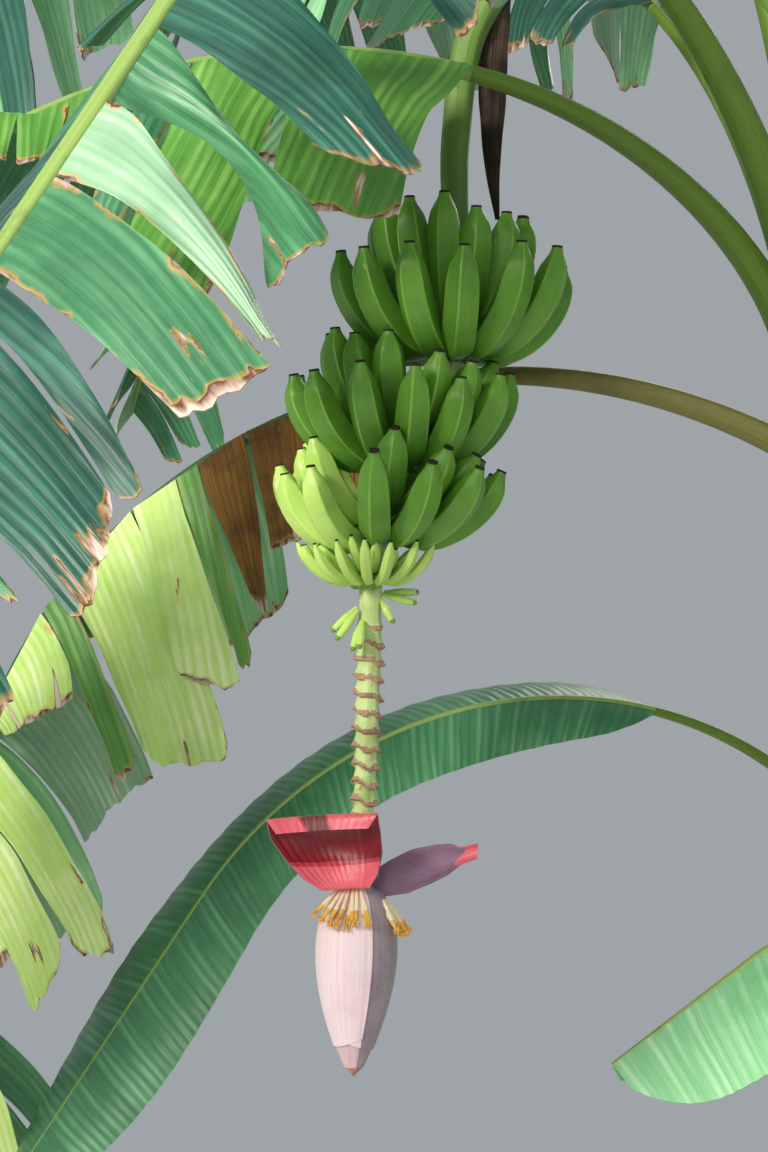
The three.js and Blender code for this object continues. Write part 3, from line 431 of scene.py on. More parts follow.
def wither(tree, given):
    """Dead parts of a blade. The way to the nearest edge or end, roughened by noise, is below a level;
    or noise drawn out along the veins is high, more so near the end. A thin warm rim goes round them,
    and they are brown beside it and paler further in, in streaks."""
    margin = node(tree, "UVMap", {}, uv_map="margin").outputs[0]
    to_edge, to_end, _ = node(tree, "SeparateXYZ", {0: margin}).outputs
    space = node(tree, "TexCoord", {}).outputs["Object"]
    near = maths(tree, "MINIMUM", to_edge, to_end)
    rough = maths(tree, "MULTIPLY_ADD", noise(tree, space, 22.0, 4.0), 0.5, near)
    streak = noise(tree, surface(tree, 5.0, 0.9), 1.0, 3.0)
    inside = maths(tree, "MULTIPLY_ADD", streak, -2.4, 1.76)
    lowest = maths(tree, "MINIMUM", rough, maths(tree, "MULTIPLY_ADD", to_end, 0.2, inside))
    dead = span(tree, lowest, 0.27, 0.28, 1.0, 0.0)
    rim = span(tree, lowest, 0.28, 0.34, 0.6, 0.0)
    fine = noise(tree, surface(tree, 9.0, 1.8), 1.0, 4.0)
    tone = span(tree, maths(tree, "MULTIPLY_ADD", lowest, -3.0, fine), -0.34, 0.04)
    edged = mixed(tree, rim, given["Colour"], given["Rim"])
    dry = mixed(tree, tone, given["Brown"], given["Pale"])
    return mixed(tree, dead, edged, dry), dead


def effect(build, name, colours, numbers, output):
    """A shader node group round a function that makes a colour and a second output of its inputs."""
    tree = bpy.data.node_groups.new(name, "ShaderNodeTree")
    sockets = [("INPUT", "Color", label) for label in colours]
    sockets += [("INPUT", "Float", label) for label in numbers]
    sockets += [("OUTPUT", "Color", "Colour"), ("OUTPUT", "Float", output)]
    for way, kind, label in sockets:
        tree.interface.new_socket(name=label, in_out=way, socket_type="NodeSocket" + kind)
    given = tree.nodes.new("NodeGroupInput").outputs
    result = tree.nodes.new("NodeGroupOutput").inputs
    for socket, value in zip(result, build(tree, given)):
        tree.links.new(value, socket)
    return tree


FIBRES = effect(fibres, "fibres", ["Colour", "Line"], ["Across", "Along", "Amount"], "Height")
MOTTLES = effect(mottles, "mottles", ["Colour", "Patch"], ["Scale", "Level", "Soft", "Amount"], "Mask")
PLEATS = effect(pleats, "pleats", ["Colour", "Light"], ["Count", "Amount"], "Height")
WITHER = effect(wither, "withered margin", ["Colour", "Brown", "Pale", "Rim"], [], "Dead")


def use(tree, group, **inputs):
    return node(tree, "Group", inputs, node_tree=group).outputs


def blank_material(name, base):
    made = bpy.data.materials.new(name)
    made.use_nodes = True
    made.node_tree.nodes.clear()
    made.diffuse_color = paint(base)
    return made


def close_material(tree, colour, rough, height, bump, depth, coat, sheen):
    """Principled surface with this colour and roughness, raised by the height."""
    raised = node(tree, "Bump", {"Height": height, "Strength": bump, "Distance": depth})
    shader = node(tree, "BsdfPrincipled", {
        "Base Color": colour, "Roughness": rough, "Normal": raised.outputs[0], "Coat Weight": coat,
        "Coat Roughness": 0.35, "Sheen Weight": sheen, "Sheen Roughness": 0.5,
        "Specular IOR Level": 0.4,
    })
    node(tree, "OutputMaterial", {"Surface": shader.outputs[0]})


# Finishes: three colours (base, lines, patches), fibres (across, along, amount), patches (scale, level,
# softness, amount) and, where there are any, specks (colour, then like patches)

def finish(name, colours, lines, patches, specks=None, rough=0.5, bump=0.3, depth=0.001, coat=0.0,
           sheen=0.0):
    """Plant surface: fibre lines, then soft patches, then small specks over one base colour."""
    base, line, patch = colours.split()
    made = blank_material(name, base)
    tree = made.node_tree
    across, along, amount = lines
    fine = use(tree, FIBRES, Colour=paint(base), Line=paint(line), Across=across, Along=along,
               Amount=amount)
    last = fine
    for shade, scale, level, soft, amount in [(patch, *patches)] + ([specks] if specks else []):
        last = use(tree, MOTTLES, Colour=last["Colour"], Patch=paint(shade), Scale=scale, Level=level,
                   Soft=soft, Amount=amount)
    gloss = span(tree, last["Mask"], 0.0, 1.0, rough, rough + 0.15)
    close_material(tree, last["Colour"], gloss, fine["Height"], bump, depth, coat, sheen)
    return made


# streaks is how strongly the painted highlight shows on the pleats' crests
FRESH = dict(streaks=0.75, veins=0.3, scale=6.0, patches=0.55, rough=0.4, bump=0.6, coat=0.12)
WITHERED = dict(streaks=0.4, veins=0.7, scale=14.0, patches=0.8, rough=0.8, bump=0.8, coat=0.0)
PLEAT_DEPTH = 0.0016
# Radians of the pleats' sine in 100 mm across the veins
PLEAT_COUNT = 46.0


def blade_finish(name, colours, look=FRESH):
    """Leaf blade: pleats with streaks of painted highlight, fine veins, soft darker patches and a dead
    margin.
    """
    base, light, dark = colours.split()
    made = blank_material(name, base)
    tree = made.node_tree
    folded = use(tree, PLEATS, Colour=paint(base), Light=paint(light), Count=PLEAT_COUNT,
                 Amount=look["streaks"])
    veined = use(tree, FIBRES, Colour=folded["Colour"], Line=paint(light), Across=42.0, Along=0.3,
                 Amount=look["veins"])
    patched = use(tree, MOTTLES, Colour=veined["Colour"], Patch=paint(dark), Scale=look["scale"],
                  Level=0.46, Soft=0.2, Amount=look["patches"])
    edged = use(tree, WITHER, Colour=patched["Colour"], Brown=paint("5e3a26"), Pale=paint("d2bcae"),
                Rim=paint("c08a42"))
    gloss = span(tree, edged["Dead"], 0.0, 1.0, look["rough"], 0.85)
    relief = maths(tree, "MULTIPLY_ADD", veined["Height"], 0.25, folded["Height"])
    close_material(tree, edged["Colour"], gloss, relief, look["bump"], PLEAT_DEPTH, look["coat"], 0.0)
    return made


# Mid green with copies in painted shade, painted light and painted sunlight, besides the pale underside
# and dead brown
BLADE_FINISHES = [
    blade_finish("blade teal painted shade", "18443a 447e6a 0f3026"),
    blade_finish("blade mid green", "326e48 6ea87c 24583a"),
    blade_finish("blade painted light green", "7cc088 c4ecc0 549e66"),
    blade_finish("blade painted sunlight green", "4a8630 92c462 346c26"),
    blade_finish("blade painted sunlight yellow green", "bce068 f4facc 8cc048"),
    blade_finish("blade pale underside", "7ea884 b8d4b8 5c8e6a"),
    blade_finish("blade dead brown", "5e4020 ac7a28 2a1c12", WITHERED),
]
# Finishes of the lower and the upper face, for each letter of a dress: deep teal (painted shade), mid
# green, lit green (painted light), sunlit green and sunlit yellow green (painted sunlight), pale and brown
DRESSES = {"d": (1, 0), "m": (2, 1), "l": (5, 2), "g": (2, 3), "s": (4, 4), "p": (5, 5), "b": (6, 6)}

PETIOLE_OLIVE = finish("petiole olive green", "4e6e18 728f2c 385416", (34, 0.5, 0.5),
                       (5, 0.55, 0.16, 0.6), ("5a4526", 22, 0.66, 0.04, 0.7), rough=0.45, bump=0.35,
                       coat=0.1)
PETIOLE_BROWN = finish("petiole olive brown", "7a7338 97904f 5a4e2a", (34, 0.5, 0.5),
                       (5, 0.5, 0.16, 0.7), ("4a3520", 20, 0.62, 0.05, 0.8), bump=0.35)
RIB_PALE = finish("midrib pale green", "7c9a4a a2b872 607a36", (30, 0.4, 0.5), (12, 0.58, 0.08, 0.6),
                  ("7c5a34", 30, 0.66, 0.04, 0.8), rough=0.45)
RIB_DARK = finish("midrib dark green", "31623c 4b7c4e 234a30", (30, 0.4, 0.5), (10, 0.5, 0.15, 0.5),
                  rough=0.45)
SHEATH_GREEN = finish("sheath green", "7d8c4e 97a263 5e6b3a", (16, 0.25, 0.6), (4, 0.5, 0.12, 0.75),
                      ("4d3626", 7, 0.58, 0.05, 0.85), bump=0.5, depth=0.002)
SHEATH_DRY = finish("sheath dry brown", "8a6a45 b1946a 55402a", (14, 0.3, 0.8), (6, 0.45, 0.15, 0.8),
                    rough=0.8, bump=0.9, depth=0.003)
STALK_FINISHES = [
    finish("fruit stalk green", "5c7d33 7b9a48 446028", (30, 0.7, 0.5), (14, 0.5, 0.14, 0.6),
           ("3c3a20", 40, 0.64, 0.04, 0.6), bump=0.4),
    finish("fruit stalk pale green", "bace84 d6e4a8 8ea65c", (30, 0.7, 0.5), (16, 0.5, 0.14, 0.6),
           ("7c6a3c", 50, 0.66, 0.04, 0.6), bump=0.35),
    finish("bract scar", "a5826a c9a78c 7d5a4c", (30, 2, 0.5), (30, 0.5, 0.12, 0.6), rough=0.7,
           bump=0.5),
]
FRUIT_LOOK = dict(rough=0.42, bump=0.1, coat=0.08)
FRUIT_GREEN = finish("fruit green skin", "60942e 7aae3a 447424", (18, 0.5, 0.3), (11, 0.46, 0.2, 0.6),
                     ("5f5f30", 70, 0.68, 0.03, 0.6), **FRUIT_LOOK)
# A brighter copy of the green skin: painted sunlight on the hands marked for it
FRUIT_PAINTED_SUNLIGHT = finish("fruit skin painted sunlight", "bcdc70 d4ec94 92c04e", (18, 0.5, 0.3), (11, 0.46, 0.2, 0.5),
                     ("7f7a38", 70, 0.7, 0.03, 0.6), **FRUIT_LOOK)
# A lighter copy of the green skin for the narrow face on each ridge: a painted highlight
FRUIT_RIDGE_HIGHLIGHT = finish("fruit ridge painted highlight", "7cac40 92c050 588a2e", (18, 0.5, 0.35), (14, 0.48, 0.2, 0.6),
                     ("6f6a38", 70, 0.68, 0.03, 0.6), **FRUIT_LOOK)
FRUIT_NECK = finish("fruit neck", "6a9636 84ae48 4f7c2c", (24, 0.5, 0.4), (16, 0.5, 0.16, 0.5),
                    rough=0.45, bump=0.2)
FRUIT_END = finish("dried flower end", "2a2018 4a3a28 17120e", (40, 4, 0.6), (60, 0.45, 0.15, 0.7),
                   rough=0.85, bump=0.7)
BUD_FINISHES = [
    finish("bud waxy lilac", "e6ccd2 f4e6ea c8a6b6", (22, 0.16, 0.7), (12, 0.5, 0.2, 0.4),
           ("9b7488", 40, 0.68, 0.06, 0.3), bump=0.5, sheen=0.15),
    # Purple grey for the bud's far side: partly the bracts' own colour, partly painted shade
    finish("bud purple grey and painted shade", "93838e b4a4ac 6f5c6a", (22, 0.16, 0.7), (12, 0.46, 0.2, 0.5),
           ("4a3450", 40, 0.64, 0.06, 0.4), bump=0.5, sheen=0.15),
    finish("bud brown tip", "b0806c c89c86 8a5648", (26, 0.6, 0.6), (40, 0.48, 0.15, 0.6), rough=0.6,
           bump=0.5),
    finish("bud inner lilac", "d0aab2 e6c8cc a88494", (22, 0.16, 0.7), (12, 0.5, 0.2, 0.5), bump=0.5,
           sheen=0.15),
]
# Inside the left bract pink and deep red are painted sunlight and shade, purple brown a painted shadow
BRACT_FINISHES = [
    # and rose red their soft edge; deep red and pink red are also the bracts' own colours
    finish("bract deep red and painted shade", "84101c a02030 5e0a14", (24, 0.3, 0.6), (16, 0.48, 0.18, 0.5), rough=0.36,
           bump=0.35, coat=0.25),
    finish("bract pink red and painted light", "ea5468 f48c92 cc3450", (24, 0.3, 0.5), (16, 0.52, 0.18, 0.4), rough=0.34,
           coat=0.3),
    finish("bract purple grey", "86607c a5829c 643f5c", (26, 0.2, 0.8), (14, 0.5, 0.18, 0.5), bump=0.5,
           sheen=0.15),
    finish("bract painted shadow brown", "6e3236 8a4a4c 4e2228", (26, 0.2, 0.8), (14, 0.5, 0.18, 0.5),
           rough=0.4, bump=0.4, coat=0.2),
    finish("bract rose painted shade edge", "b63642 c85864 92222e", (24, 0.3, 0.5), (16, 0.52, 0.18, 0.4), rough=0.34,
           coat=0.3),
]
FLOWER_FINISHES = [
    finish("flower cream", "f2e0bc faf2d8 e8aca4", (30, 1, 0.5), (40, 0.5, 0.2, 0.6)),
    finish("flower orange tip", "efb44e fad47e d08a30", (40, 3, 0.6), (80, 0.5, 0.15, 0.6), rough=0.65,
           bump=0.6),
]
DRIED_FINISH = finish("dried sheath", "2e231a 54412e 191310", (24, 0.4, 0.8), (20, 0.46, 0.16, 0.7),
                      rough=0.85, bump=0.9, depth=0.002)


# Ribs, petioles and blades

class Rib:
    """Curve of a frond's rib. Its slope falls from lift to minus droop as a power of the way along,
    and the points are the sum of short steps along that slope on one compass heading."""

    def __init__(self, spec, centre, number):
        self.spec = {**USUAL, **spec}
        self.number = number
        azimuth, reach, height = spec["seat"]
        azimuth = np.radians(azimuth)
        self.heading = np.radians(spec["heading"])
        self.left = np.array([-np.sin(self.heading), np.cos(self.heading), 0])
        self.root = np.array([centre[0] + reach * np.cos(azimuth), centre[1] + reach * np.sin(azimuth),
                              height])
        self.marks = np.linspace(0, spec["length"], 81)
        step = spec["length"] / 80
        steps = self.along(self.marks[:-1] + step / 2) * step
        self.points = self.root + np.concatenate([[[0, 0, 0]], np.cumsum(steps, 0)])

    def along(self, run):
        spec = self.spec
        share = np.clip(np.asarray(run, float) / spec["length"] / spec["fall"], 0, 1)
        slope = spec["lift"] - (spec["lift"] + spec["droop"]) * share ** spec["bend"]
        return aimed(np.radians(slope), self.heading)

    def up(self, run):
        return np.cross(self.along(run), self.left)

    def at(self, run):
        return read_line(run, self.marks, self.points)

    def width(self, run, sizes):
        marks = [0, self.spec["petiole"], self.spec["length"]]
        return np.interp(run, marks, [sizes["root"], sizes["end"], sizes["tip"]])


def reach_at(share, half):
    """Reach of a blade's side: a parabola at the narrow base, then full, then a quarter ellipse."""
    base = 1 - 0.62 * (1 - np.minimum(1, share / 0.28)) ** 2
    past = np.maximum(0, (share - 0.62) / 0.4)
    return half * base * np.sqrt(np.maximum(0.03, 1 - past ** 2))


def channel(sides, half, depth, groove):
    """Outline of a stalk with a channel on top: an ellipse whose upper side sinks by a bell curve."""
    angle = ring(sides)
    x = np.cos(angle)
    y = np.sin(angle) * depth
    sunk = np.exp(-(x / 0.5) ** 2) * np.clip(np.sin(angle), 0, 1)
    half = half[:, None]
    return np.stack([half * x, half * (y - np.reshape(groove, (-1, 1)) * depth * sunk)], -1)


def petiole_patch(rib, centre, sizes):
    """Bare stalk of a frond, from inside the throat to the blade's base."""
    hidden, shown = 7, 34
    runs = np.linspace(0, rib.spec["petiole"], shown)
    foot = np.array([*(0.5 * (np.asarray(centre)[:2] + rib.root[:2])), rib.root[2] - sizes["sheath"]])
    rise = np.linspace(0, 1, hidden + 1)[:-1, None]
    line = np.concatenate([lerp(foot, rib.root, rise), rib.at(runs)])
    outward = -np.array([np.cos(rib.heading), np.sin(rib.heading), 0])
    up = np.concatenate([unit(lerp(outward, rib.up(0), rise)), rib.up(runs)])
    half = np.concatenate([np.full(hidden, sizes["root"] / 2), rib.width(runs, sizes) / 2])
    groove = np.concatenate([np.full(hidden, 0.75), np.linspace(0.95, 0.8, shown)])
    outline = channel(20, half, sizes["depth"], groove)
    return rod(line, rib.left, up, outline, sizes["root"] / PETIOLE["root"], 0)


def midrib_patch(rib, sizes):
    """Rib under a blade: rounded below, a shallow groove above, fine at its tip. Its finish comes
    after those of the blade."""
    runs = np.linspace(rib.spec["petiole"], rib.spec["length"], 60)
    outline = channel(12, rib.width(runs, sizes) / 2 * rib.spec["stout"], 0.85, 0.7)
    fibre_width = sizes["root"] / PETIOLE["root"]
    return rod(rib.at(runs), rib.left, rib.up(runs), outline, fibre_width, len(BLADE_FINISHES))


def strip_frame(rib, side, index, shorter, rows):
    """Middle line of a torn strip with the ways along, across and out of it. It starts at the rib's
    side, and its slope falls as a power of the way along while it twists a little."""
    spec = rib.spec
    pitch = (spec["length"] - spec["petiole"]) / STRIPS
    share = (index + 0.5) / STRIPS
    run = spec["petiole"] + (index + 0.5) * pitch
    luck = chance(rib.number * 7 + (0 if side > 0 else 3), index * 5 + np.arange(5))
    lean = np.radians(lerp(spec["lean"][0], spec["lean"][1], share))
    hinge = np.radians(spec["fold"][0 if side > 0 else 1] + 16 * (luck[0] - 0.5))
    along = rib.along(run)
    outward = rib.left * side * np.cos(hinge) - rib.up(run) * np.sin(hinge)
    way = along * np.cos(lean) + outward * np.sin(lean)
    first = np.arcsin(way[2])
    last = min(first, -np.radians(spec["hang"] * (0.7 + 0.3 * luck[1])))
    reach = shorter * reach_at(share, spec["half"]) / np.sin(lean) * (0.88 + 0.2 * luck[2])
    twist = np.radians(26) * (luck[3] - 0.5)
    middle = (np.arange(rows - 1) + 0.5) / (rows - 1)
    step = aimed(first + (last - first) * middle ** 0.7, np.arctan2(way[1], way[0]))
    start = rib.at(run) + rib.left * side * rib.width(run, MIDRIB) / 2
    centre = np.concatenate([[start], start + np.cumsum(step, 0) * reach / (rows - 1)])
    heading = unit(np.concatenate([step[:1], step[1:] + step[:-1], step[-1:]]))
    far = np.linspace(0, 1, rows)
    broad = unit(along - heading * (heading @ along)[:, None])
    broad = turned(broad, heading, twist * far)
    out = np.cross(broad, heading) * side
    free = np.clip(far * 6, 0, 1)
    root_half = np.linalg.norm(rib.at(run + pitch / 2) - rib.at(run - pitch / 2)) / 2 * 0.975
    half = lerp(root_half, 0.5 * pitch * np.sin(lean) * 0.95 * (1 - 0.1 * far), free)
    broad = unit(lerp(along, broad, free[:, None]))
    return centre, heading, broad, out, half, reach


def torn_strip(rib, side, index, shorter, part, kind):
    """One fine strip of a torn blade, between two edges of the strip it was torn from. Its middle
    line follows that strip's and drifts sideways with the way past its tear, while its width narrows
    and is pinched by a bell curve; its end is a blunt slanting edge, and it lags out of the blade."""
    rows = 26
    spec = rib.spec
    *ways, half, reach = strip_frame(rib, side, index, shorter, rows)
    low, high, share, drift, narrow, pinch = part
    luck = chance(rib.number * 31 + index * 5 + (0 if side > 0 else 2.5), low * 7 + np.arange(12))
    loose = spec["loose"] * min(1, 2.2 - (high - low))
    root_half = float(half[3])
    width = root_half * (high - low)
    columns = max(7, int(width / 8) + 2)
    local = np.sin(np.linspace(-1, 1, columns) * 1.35) / np.sin(1.35)

    slant = 0.34 * (luck[0] - 0.5) * min(1, width / reach * 2)
    length = share * (1 + slant * local) - 0.06 * np.abs(local) ** 6 * (0.3 + luck[2])
    length = length + 0.01 * np.sin(local * 9 + 6 * luck[3]) + 0.006 * np.sin(local * 23 + 9 * luck[2])
    far = np.linspace(0, 1, rows)[:, None] * length
    row = np.clip((far * (rows - 1)).astype(int), 0, rows - 2)
    rest = (far * (rows - 1) - row)[..., None]
    centre, head, broad, out = (way[row] * (1 - rest) + way[row + 1] * rest for way in ways)
    rest = rest[..., 0]
    half = half[row] * (1 - rest) + half[row + 1] * rest

    past = np.clip(far / share, 0, 1)
    torn = np.clip((past - 0.02 - 0.2 * luck[6]) / 0.8, 0, 1) ** 1.2
    most = np.radians(50)
    spin = most * (luck[9] - 0.5) * loose * torn + most * pinch * np.sin(np.pi * past)
    waist = pinch * np.sin(np.pi * past ** 0.8) ** 2
    slim = (1 - narrow * torn) * (1 - waist)
    middle = 0.5 * (low + high) + drift * torn
    across = (middle + 0.5 * (high - low) * local * slim) * half
    distance = far * reach
    ruffle = 2.4 * np.abs(local) ** 5 * np.sin(distance / 23 + 7 * luck[10]) * np.clip(far * 3, 0, 1)
    sunk = (0.03 + 0.14 * luck[11] ** 2 + 0.3 * pinch) * width * local ** 2 * np.clip(far * 2.5, 0, 1)
    lag = (luck[7] - 0.5) * 0.24 * loose * reach * torn ** 1.3
    grid = centre + turned(broad, head, spin) * across[..., None] + out * (lag + ruffle - sunk)[..., None]

    withered = (0.05 * luck[4] ** 2 - 0.1 * (luck[11] > 0.6)) * spec["dry"]
    side_dry = 0.17 - 0.1 * (luck[5] > 0.7) * spec["dry"]
    corner = 1 if luck[8] > 0.5 else -1
    edge = (1 - np.abs(local)) * width / 200 + side_dry
    end = (length - far) * reach / 100 - withered * (1 + 0.8 * corner * local)
    veins = middle + 0.5 * (high - low) * local * (1 - 0.75 * waist)
    uv = together(veins * root_half / 100 + index * 2, distance / 100, edge, end)
    if side < 0:
        grid, uv = grid[:, ::-1], uv[:, ::-1]
    return sheet(grid, STRIP_THICK, uv, *DRESSES[kind])


def random_parts(rib, side, index, kind):
    """Edges and looseness of the parts that a strip is torn into, from one to three."""
    whole, loose = rib.spec["whole"], rib.spec["loose"]
    luck = chance(rib.number * 17 + (0 if side > 0 else 5), index * 3 + np.arange(3))
    count = 1 + int(luck[0] > whole) + int(luck[0] > (1 + whole) / 2)
    edges = np.linspace(-1, 1, count + 1)
    edges[1:-1] += 0.3 * (luck[1] - 0.5)
    parts = []
    for part in range(count):
        roll = chance(rib.number + 40, index * 16 + part * 4 + (0 if side > 0 else 150) + np.arange(4))
        # Some mid green parts take the lit green of painted light, some the deep teal of painted shade
        own = kind
        if kind == "m" and roll[0] > 0.75:
            own = "l"
        elif kind == "m" and roll[0] < 0.2:
            own = "d"
        parts.append((edges[part], edges[part + 1], lerp(1, 0.8 + 0.24 * roll[1], loose),
                      0.3 * (roll[2] - 0.5) * loose, 0.1 + 0.35 * roll[3] * loose, 0.0, own))
    return parts


def blade_patches(rib):
    """All fine strips of a frond: each length of the blade is torn into one to three parts."""
    patches = []
    for side, tries, dress in zip((1, -1), rib.spec["tries"], rib.spec["dress"]):
        for index in range(STRIPS):
            parts = random_parts(rib, side, index, dress[index])
            if side > 0:
                parts = rib.spec["cuts"].get(index, parts)
            for *part, kind in parts:
                patches.append(torn_strip(rib, side, index, STRIP_TRIES[tries[index]], part, kind))
    return patches


def leaf_patches(rib):
    """Hardly torn leaf of a sucker: two halves that reach out from the rib, each folded and curling
    more towards its margin, and round like a quarter circle at its base; veins are a slanting sine,
    and the margin waves."""
    spec = rib.spec
    rows, columns = 90, 18
    share = np.linspace(0, 1, rows)[:, None]
    way = np.linspace(0, 1, columns)
    run = spec["petiole"] + share * (spec["length"] - spec["petiole"])
    line, along, up = rib.at(run[:, 0]), rib.along(run[:, 0]), rib.up(run[:, 0])
    patches = []
    for side, fold, slim, kind in zip((1, -1), spec["fold"], (spec["slim"], 1), spec["dress"]):
        hinge = np.radians(fold + SUCKER_LEAF_CURL * way + 4 * np.sin(share * 7 + side) * way ** 2)
        outward = rib.left * side * np.cos(hinge)[..., None] - up[:, None] * np.sin(hinge)[..., None]
        reach = reach_at(share, spec["half"]) * (1 + 0.01 * np.sin(share * 23 + rib.number))
        reach = reach * lerp(slim, 1, np.clip(share * 2 - 0.8, 0, 1))
        reach = reach * np.sqrt(1 - (1 - np.clip(share / 0.07, 0.02, 1)) ** 2)
        base = line[:, None] + rib.left * side * rib.width(run, SUCKER_PETIOLE)[..., None] / 2.4
        slant = way * reach * 0.16 * (1 - share ** 4)
        veins = 0.7 * np.sin((run - slant * 1.4) * 2 * np.pi / 19) * np.clip(way * 5, 0, 1)
        wave = 2.2 * np.sin(run / 60 + side) * way ** 3
        out = unit(np.cross(along[:, None] + 0 * outward, outward)) * side
        grid = base + outward * (way * reach)[..., None] + along[:, None] * slant[..., None]
        grid = grid + out * (veins + wave)[..., None]
        edge = (1 - way) * reach / 100 + 0.25
        uv = together((run - slant) / 100, way * reach / 100, edge, edge + 5)
        if side > 0:
            grid, uv = grid[:, ::-1], uv[:, ::-1]
        patches.append(sheet(grid, LEAF_THICK, uv, *DRESSES[kind]))
    return patches


# Stems

def stem_axis(height):
    """The main stem's axis leans towards the bunch as a power of height."""
    height = np.asarray(height, float)
    lean = STEM["lean"] * (np.clip(height, 0, None) / STEM["height"]) ** STEM["lean_power"]
    return np.stack([lean, np.zeros_like(height), height], -1)


def stem_radius(height):
    taper = lerp(STEM["foot"], STEM["throat"], height / STEM["height"])
    return taper + STEM["flare"] * np.exp(-height / STEM["flare_height"])


def sheath_relief(angle, height, count, step):
    """Overlapping sheaths: a saw tooth round the stem that climbs as a spiral, and slow swellings."""
    climb = height / SHEATHS["climb"] + 0.06 * np.sin(height / 170)
    tooth = (angle / (2 * np.pi) * count + climb) % 1
    return step * (1 - tooth) ** 1.5 + 0.35 * step * np.sin(3 * angle + height / 260)


def stem_patch(axis, radius, count, step):
    """Stem as stacked rings: taper and flare, plus the sheaths' relief, closed flat at the ground.
    The sheaths are dry up to a ragged height, a sum of three sines round the stem."""
    angle = ring(96)
    level = axis[:, 2:]
    foot = 7 * np.sin(7 * angle + 1.3) * np.exp(-level / 70)
    wide = radius[:, None] + sheath_relief(angle, level, count, step) - 0.6 * step + foot
    ragged = 110 * np.sin(2 * angle + 1) + 60 * np.sin(5 * angle + 0.4) + 45 * np.sin(17 * angle)
    dry = (level[:-1] + ragged < SHEATHS["dry"]).astype(int)
    return rod(axis, EAST, NORTH, round_outline(wide, angle), 4.0, dry)


def throat_sheath(rib, order):
    """Sheath of one frond on the main stem: a shell that is narrow under its petiole and widens
    round the stem on its way down, lifted towards the petiole by a bell curve."""
    rows, columns = 26, 27
    down = np.linspace(0, 1, rows)[:, None]
    side = np.linspace(-1, 1, columns)
    height = rib.root[2] + 6 - down * SHEATHS["length"] - 40 * side ** 2 * (1 - down) * 0.4
    azimuth = np.arctan2(rib.root[1], rib.root[0] - STEM["lean"])
    narrow, broad = SHEATHS["narrow"], SHEATHS["broad"]
    angle = azimuth + side * np.radians(lerp(narrow, broad, down ** 0.8))
    lift = SHEATHS["bulge"] * (1 - down) ** 2 * np.exp(-(side * lerp(narrow, broad, down) / narrow) ** 2)
    held = np.minimum(height, STEM["height"])
    wide = stem_radius(held) + 1 + 1.1 * order * (1 - down) * (1 - side ** 8) + lift
    x, y, _ = np.moveaxis(stem_axis(held), -1, 0)
    grid = np.stack([x + wide * np.cos(angle), y + wide * np.sin(angle), height], -1)
    kinds = np.zeros((rows - 1, columns - 1), int)
    kinds[:, [0, -1]] = 1
    return sheet(grid, 2.4, together(angle * wide / 100, height / 100), kinds)


# Fruit stalk

def smooth_path(points, count):
    """Centripetal Catmull-Rom curve through points, as evenly spaced points and the curve's length."""
    given = np.asarray(points, float)
    ends = np.concatenate([[2 * given[0] - given[1]], given, [2 * given[-1] - given[-2]]])
    fine = []
    share = np.linspace(0, 1, 60, endpoint=False)[:, None]
    for p0, p1, p2, p3 in zip(ends, ends[1:], ends[2:], ends[3:]):
        d0, d1, d2 = (np.linalg.norm(b - a) ** 0.5 for a, b in ((p0, p1), (p1, p2), (p2, p3)))
        m1 = ((p1 - p0) / d0 - (p2 - p0) / (d0 + d1) + (p2 - p1) / d1) * d1
        m2 = ((p2 - p1) / d1 - (p3 - p1) / (d1 + d2) + (p3 - p2) / d2) * d1
        fine.append(p1 + m1 * share + (-3 * p1 + 3 * p2 - 2 * m1 - m2) * share ** 2
                    + (2 * p1 - 2 * p2 + m1 + m2) * share ** 3)
    fine = np.concatenate(fine + [given[-1:]])
    run = runs_of(fine)
    return read_line(np.linspace(0, run[-1], count), run, fine), run[-1]


STALK_LINE, STALK_LENGTH = smooth_path(STALK["path"], 900)


def stalk_at(height):
    """Point of the hanging stalk at a height."""
    line = STALK_LINE[int(STALK["bunch_top"] * len(STALK_LINE)) + 1:][::-1]
    return read_line(height, line[:, 2], line)


def stalk_patch():
    """Fruit stalk: a round rod that thins towards the bud. Below the fruit, scars of fallen bracts
    stand out as collars: a power of a saw tooth along it, highest at two opposite sides."""
    centre = STALK_LINE
    along = unit(np.gradient(centre, axis=0))
    across = unit(np.cross(NORTH, along))
    share = np.linspace(0, 1, len(centre))[:, None]
    top = STALK["bunch_top"]
    radius = np.where(share < top, lerp(STALK["thick"], STALK["bunch_thick"], share / top),
                      lerp(STALK["bunch_thick"], STALK["bud_thick"], (share - top) / (1 - top)))
    angle = ring(30)
    height = centre[:, 2:]
    scarred = np.clip((SCARS["top"] - height) / 60, 0, 1) * (share > top)
    scarred = scarred * np.clip((height - SCARS["bottom"]) / 14, 0, 1)
    run = share * STALK_LENGTH
    tooth = (run / SCARS["pitch"] + 0.16 * np.cos(angle) + 0.1 * np.sin(3 * angle + run / 37)) % 1
    sides = 0.3 + 0.7 * np.abs(np.cos(angle + 0.5 * np.sin(run / 60))) ** 1.5
    collar = SCARS["height"] * tooth ** 2.6 * sides * scarred
    rough = 0.5 * np.sin(5 * angle + run / 90) + 0.35 * np.sin(9 * angle - run / 47)
    pale = (share > top) & (height < 2020)
    scar = (collar[:-1] > 1.1) & (tooth[:-1] > 0.62)
    kinds = np.where(scar, 2, np.where(pale[:-1], 1, 0))
    outline = round_outline(radius + rough + collar, angle)
    return rod(centre, across, np.cross(along, across), outline, 0.9, kinds)


# Fruit

def finger_slope(slopes, share):
    first, last = FINGER_BEND
    bent = np.clip((share - first) / (last - first), 0, 1) ** 0.8
    return np.radians(slopes[0] + (slopes[1] - slopes[0]) * bent)


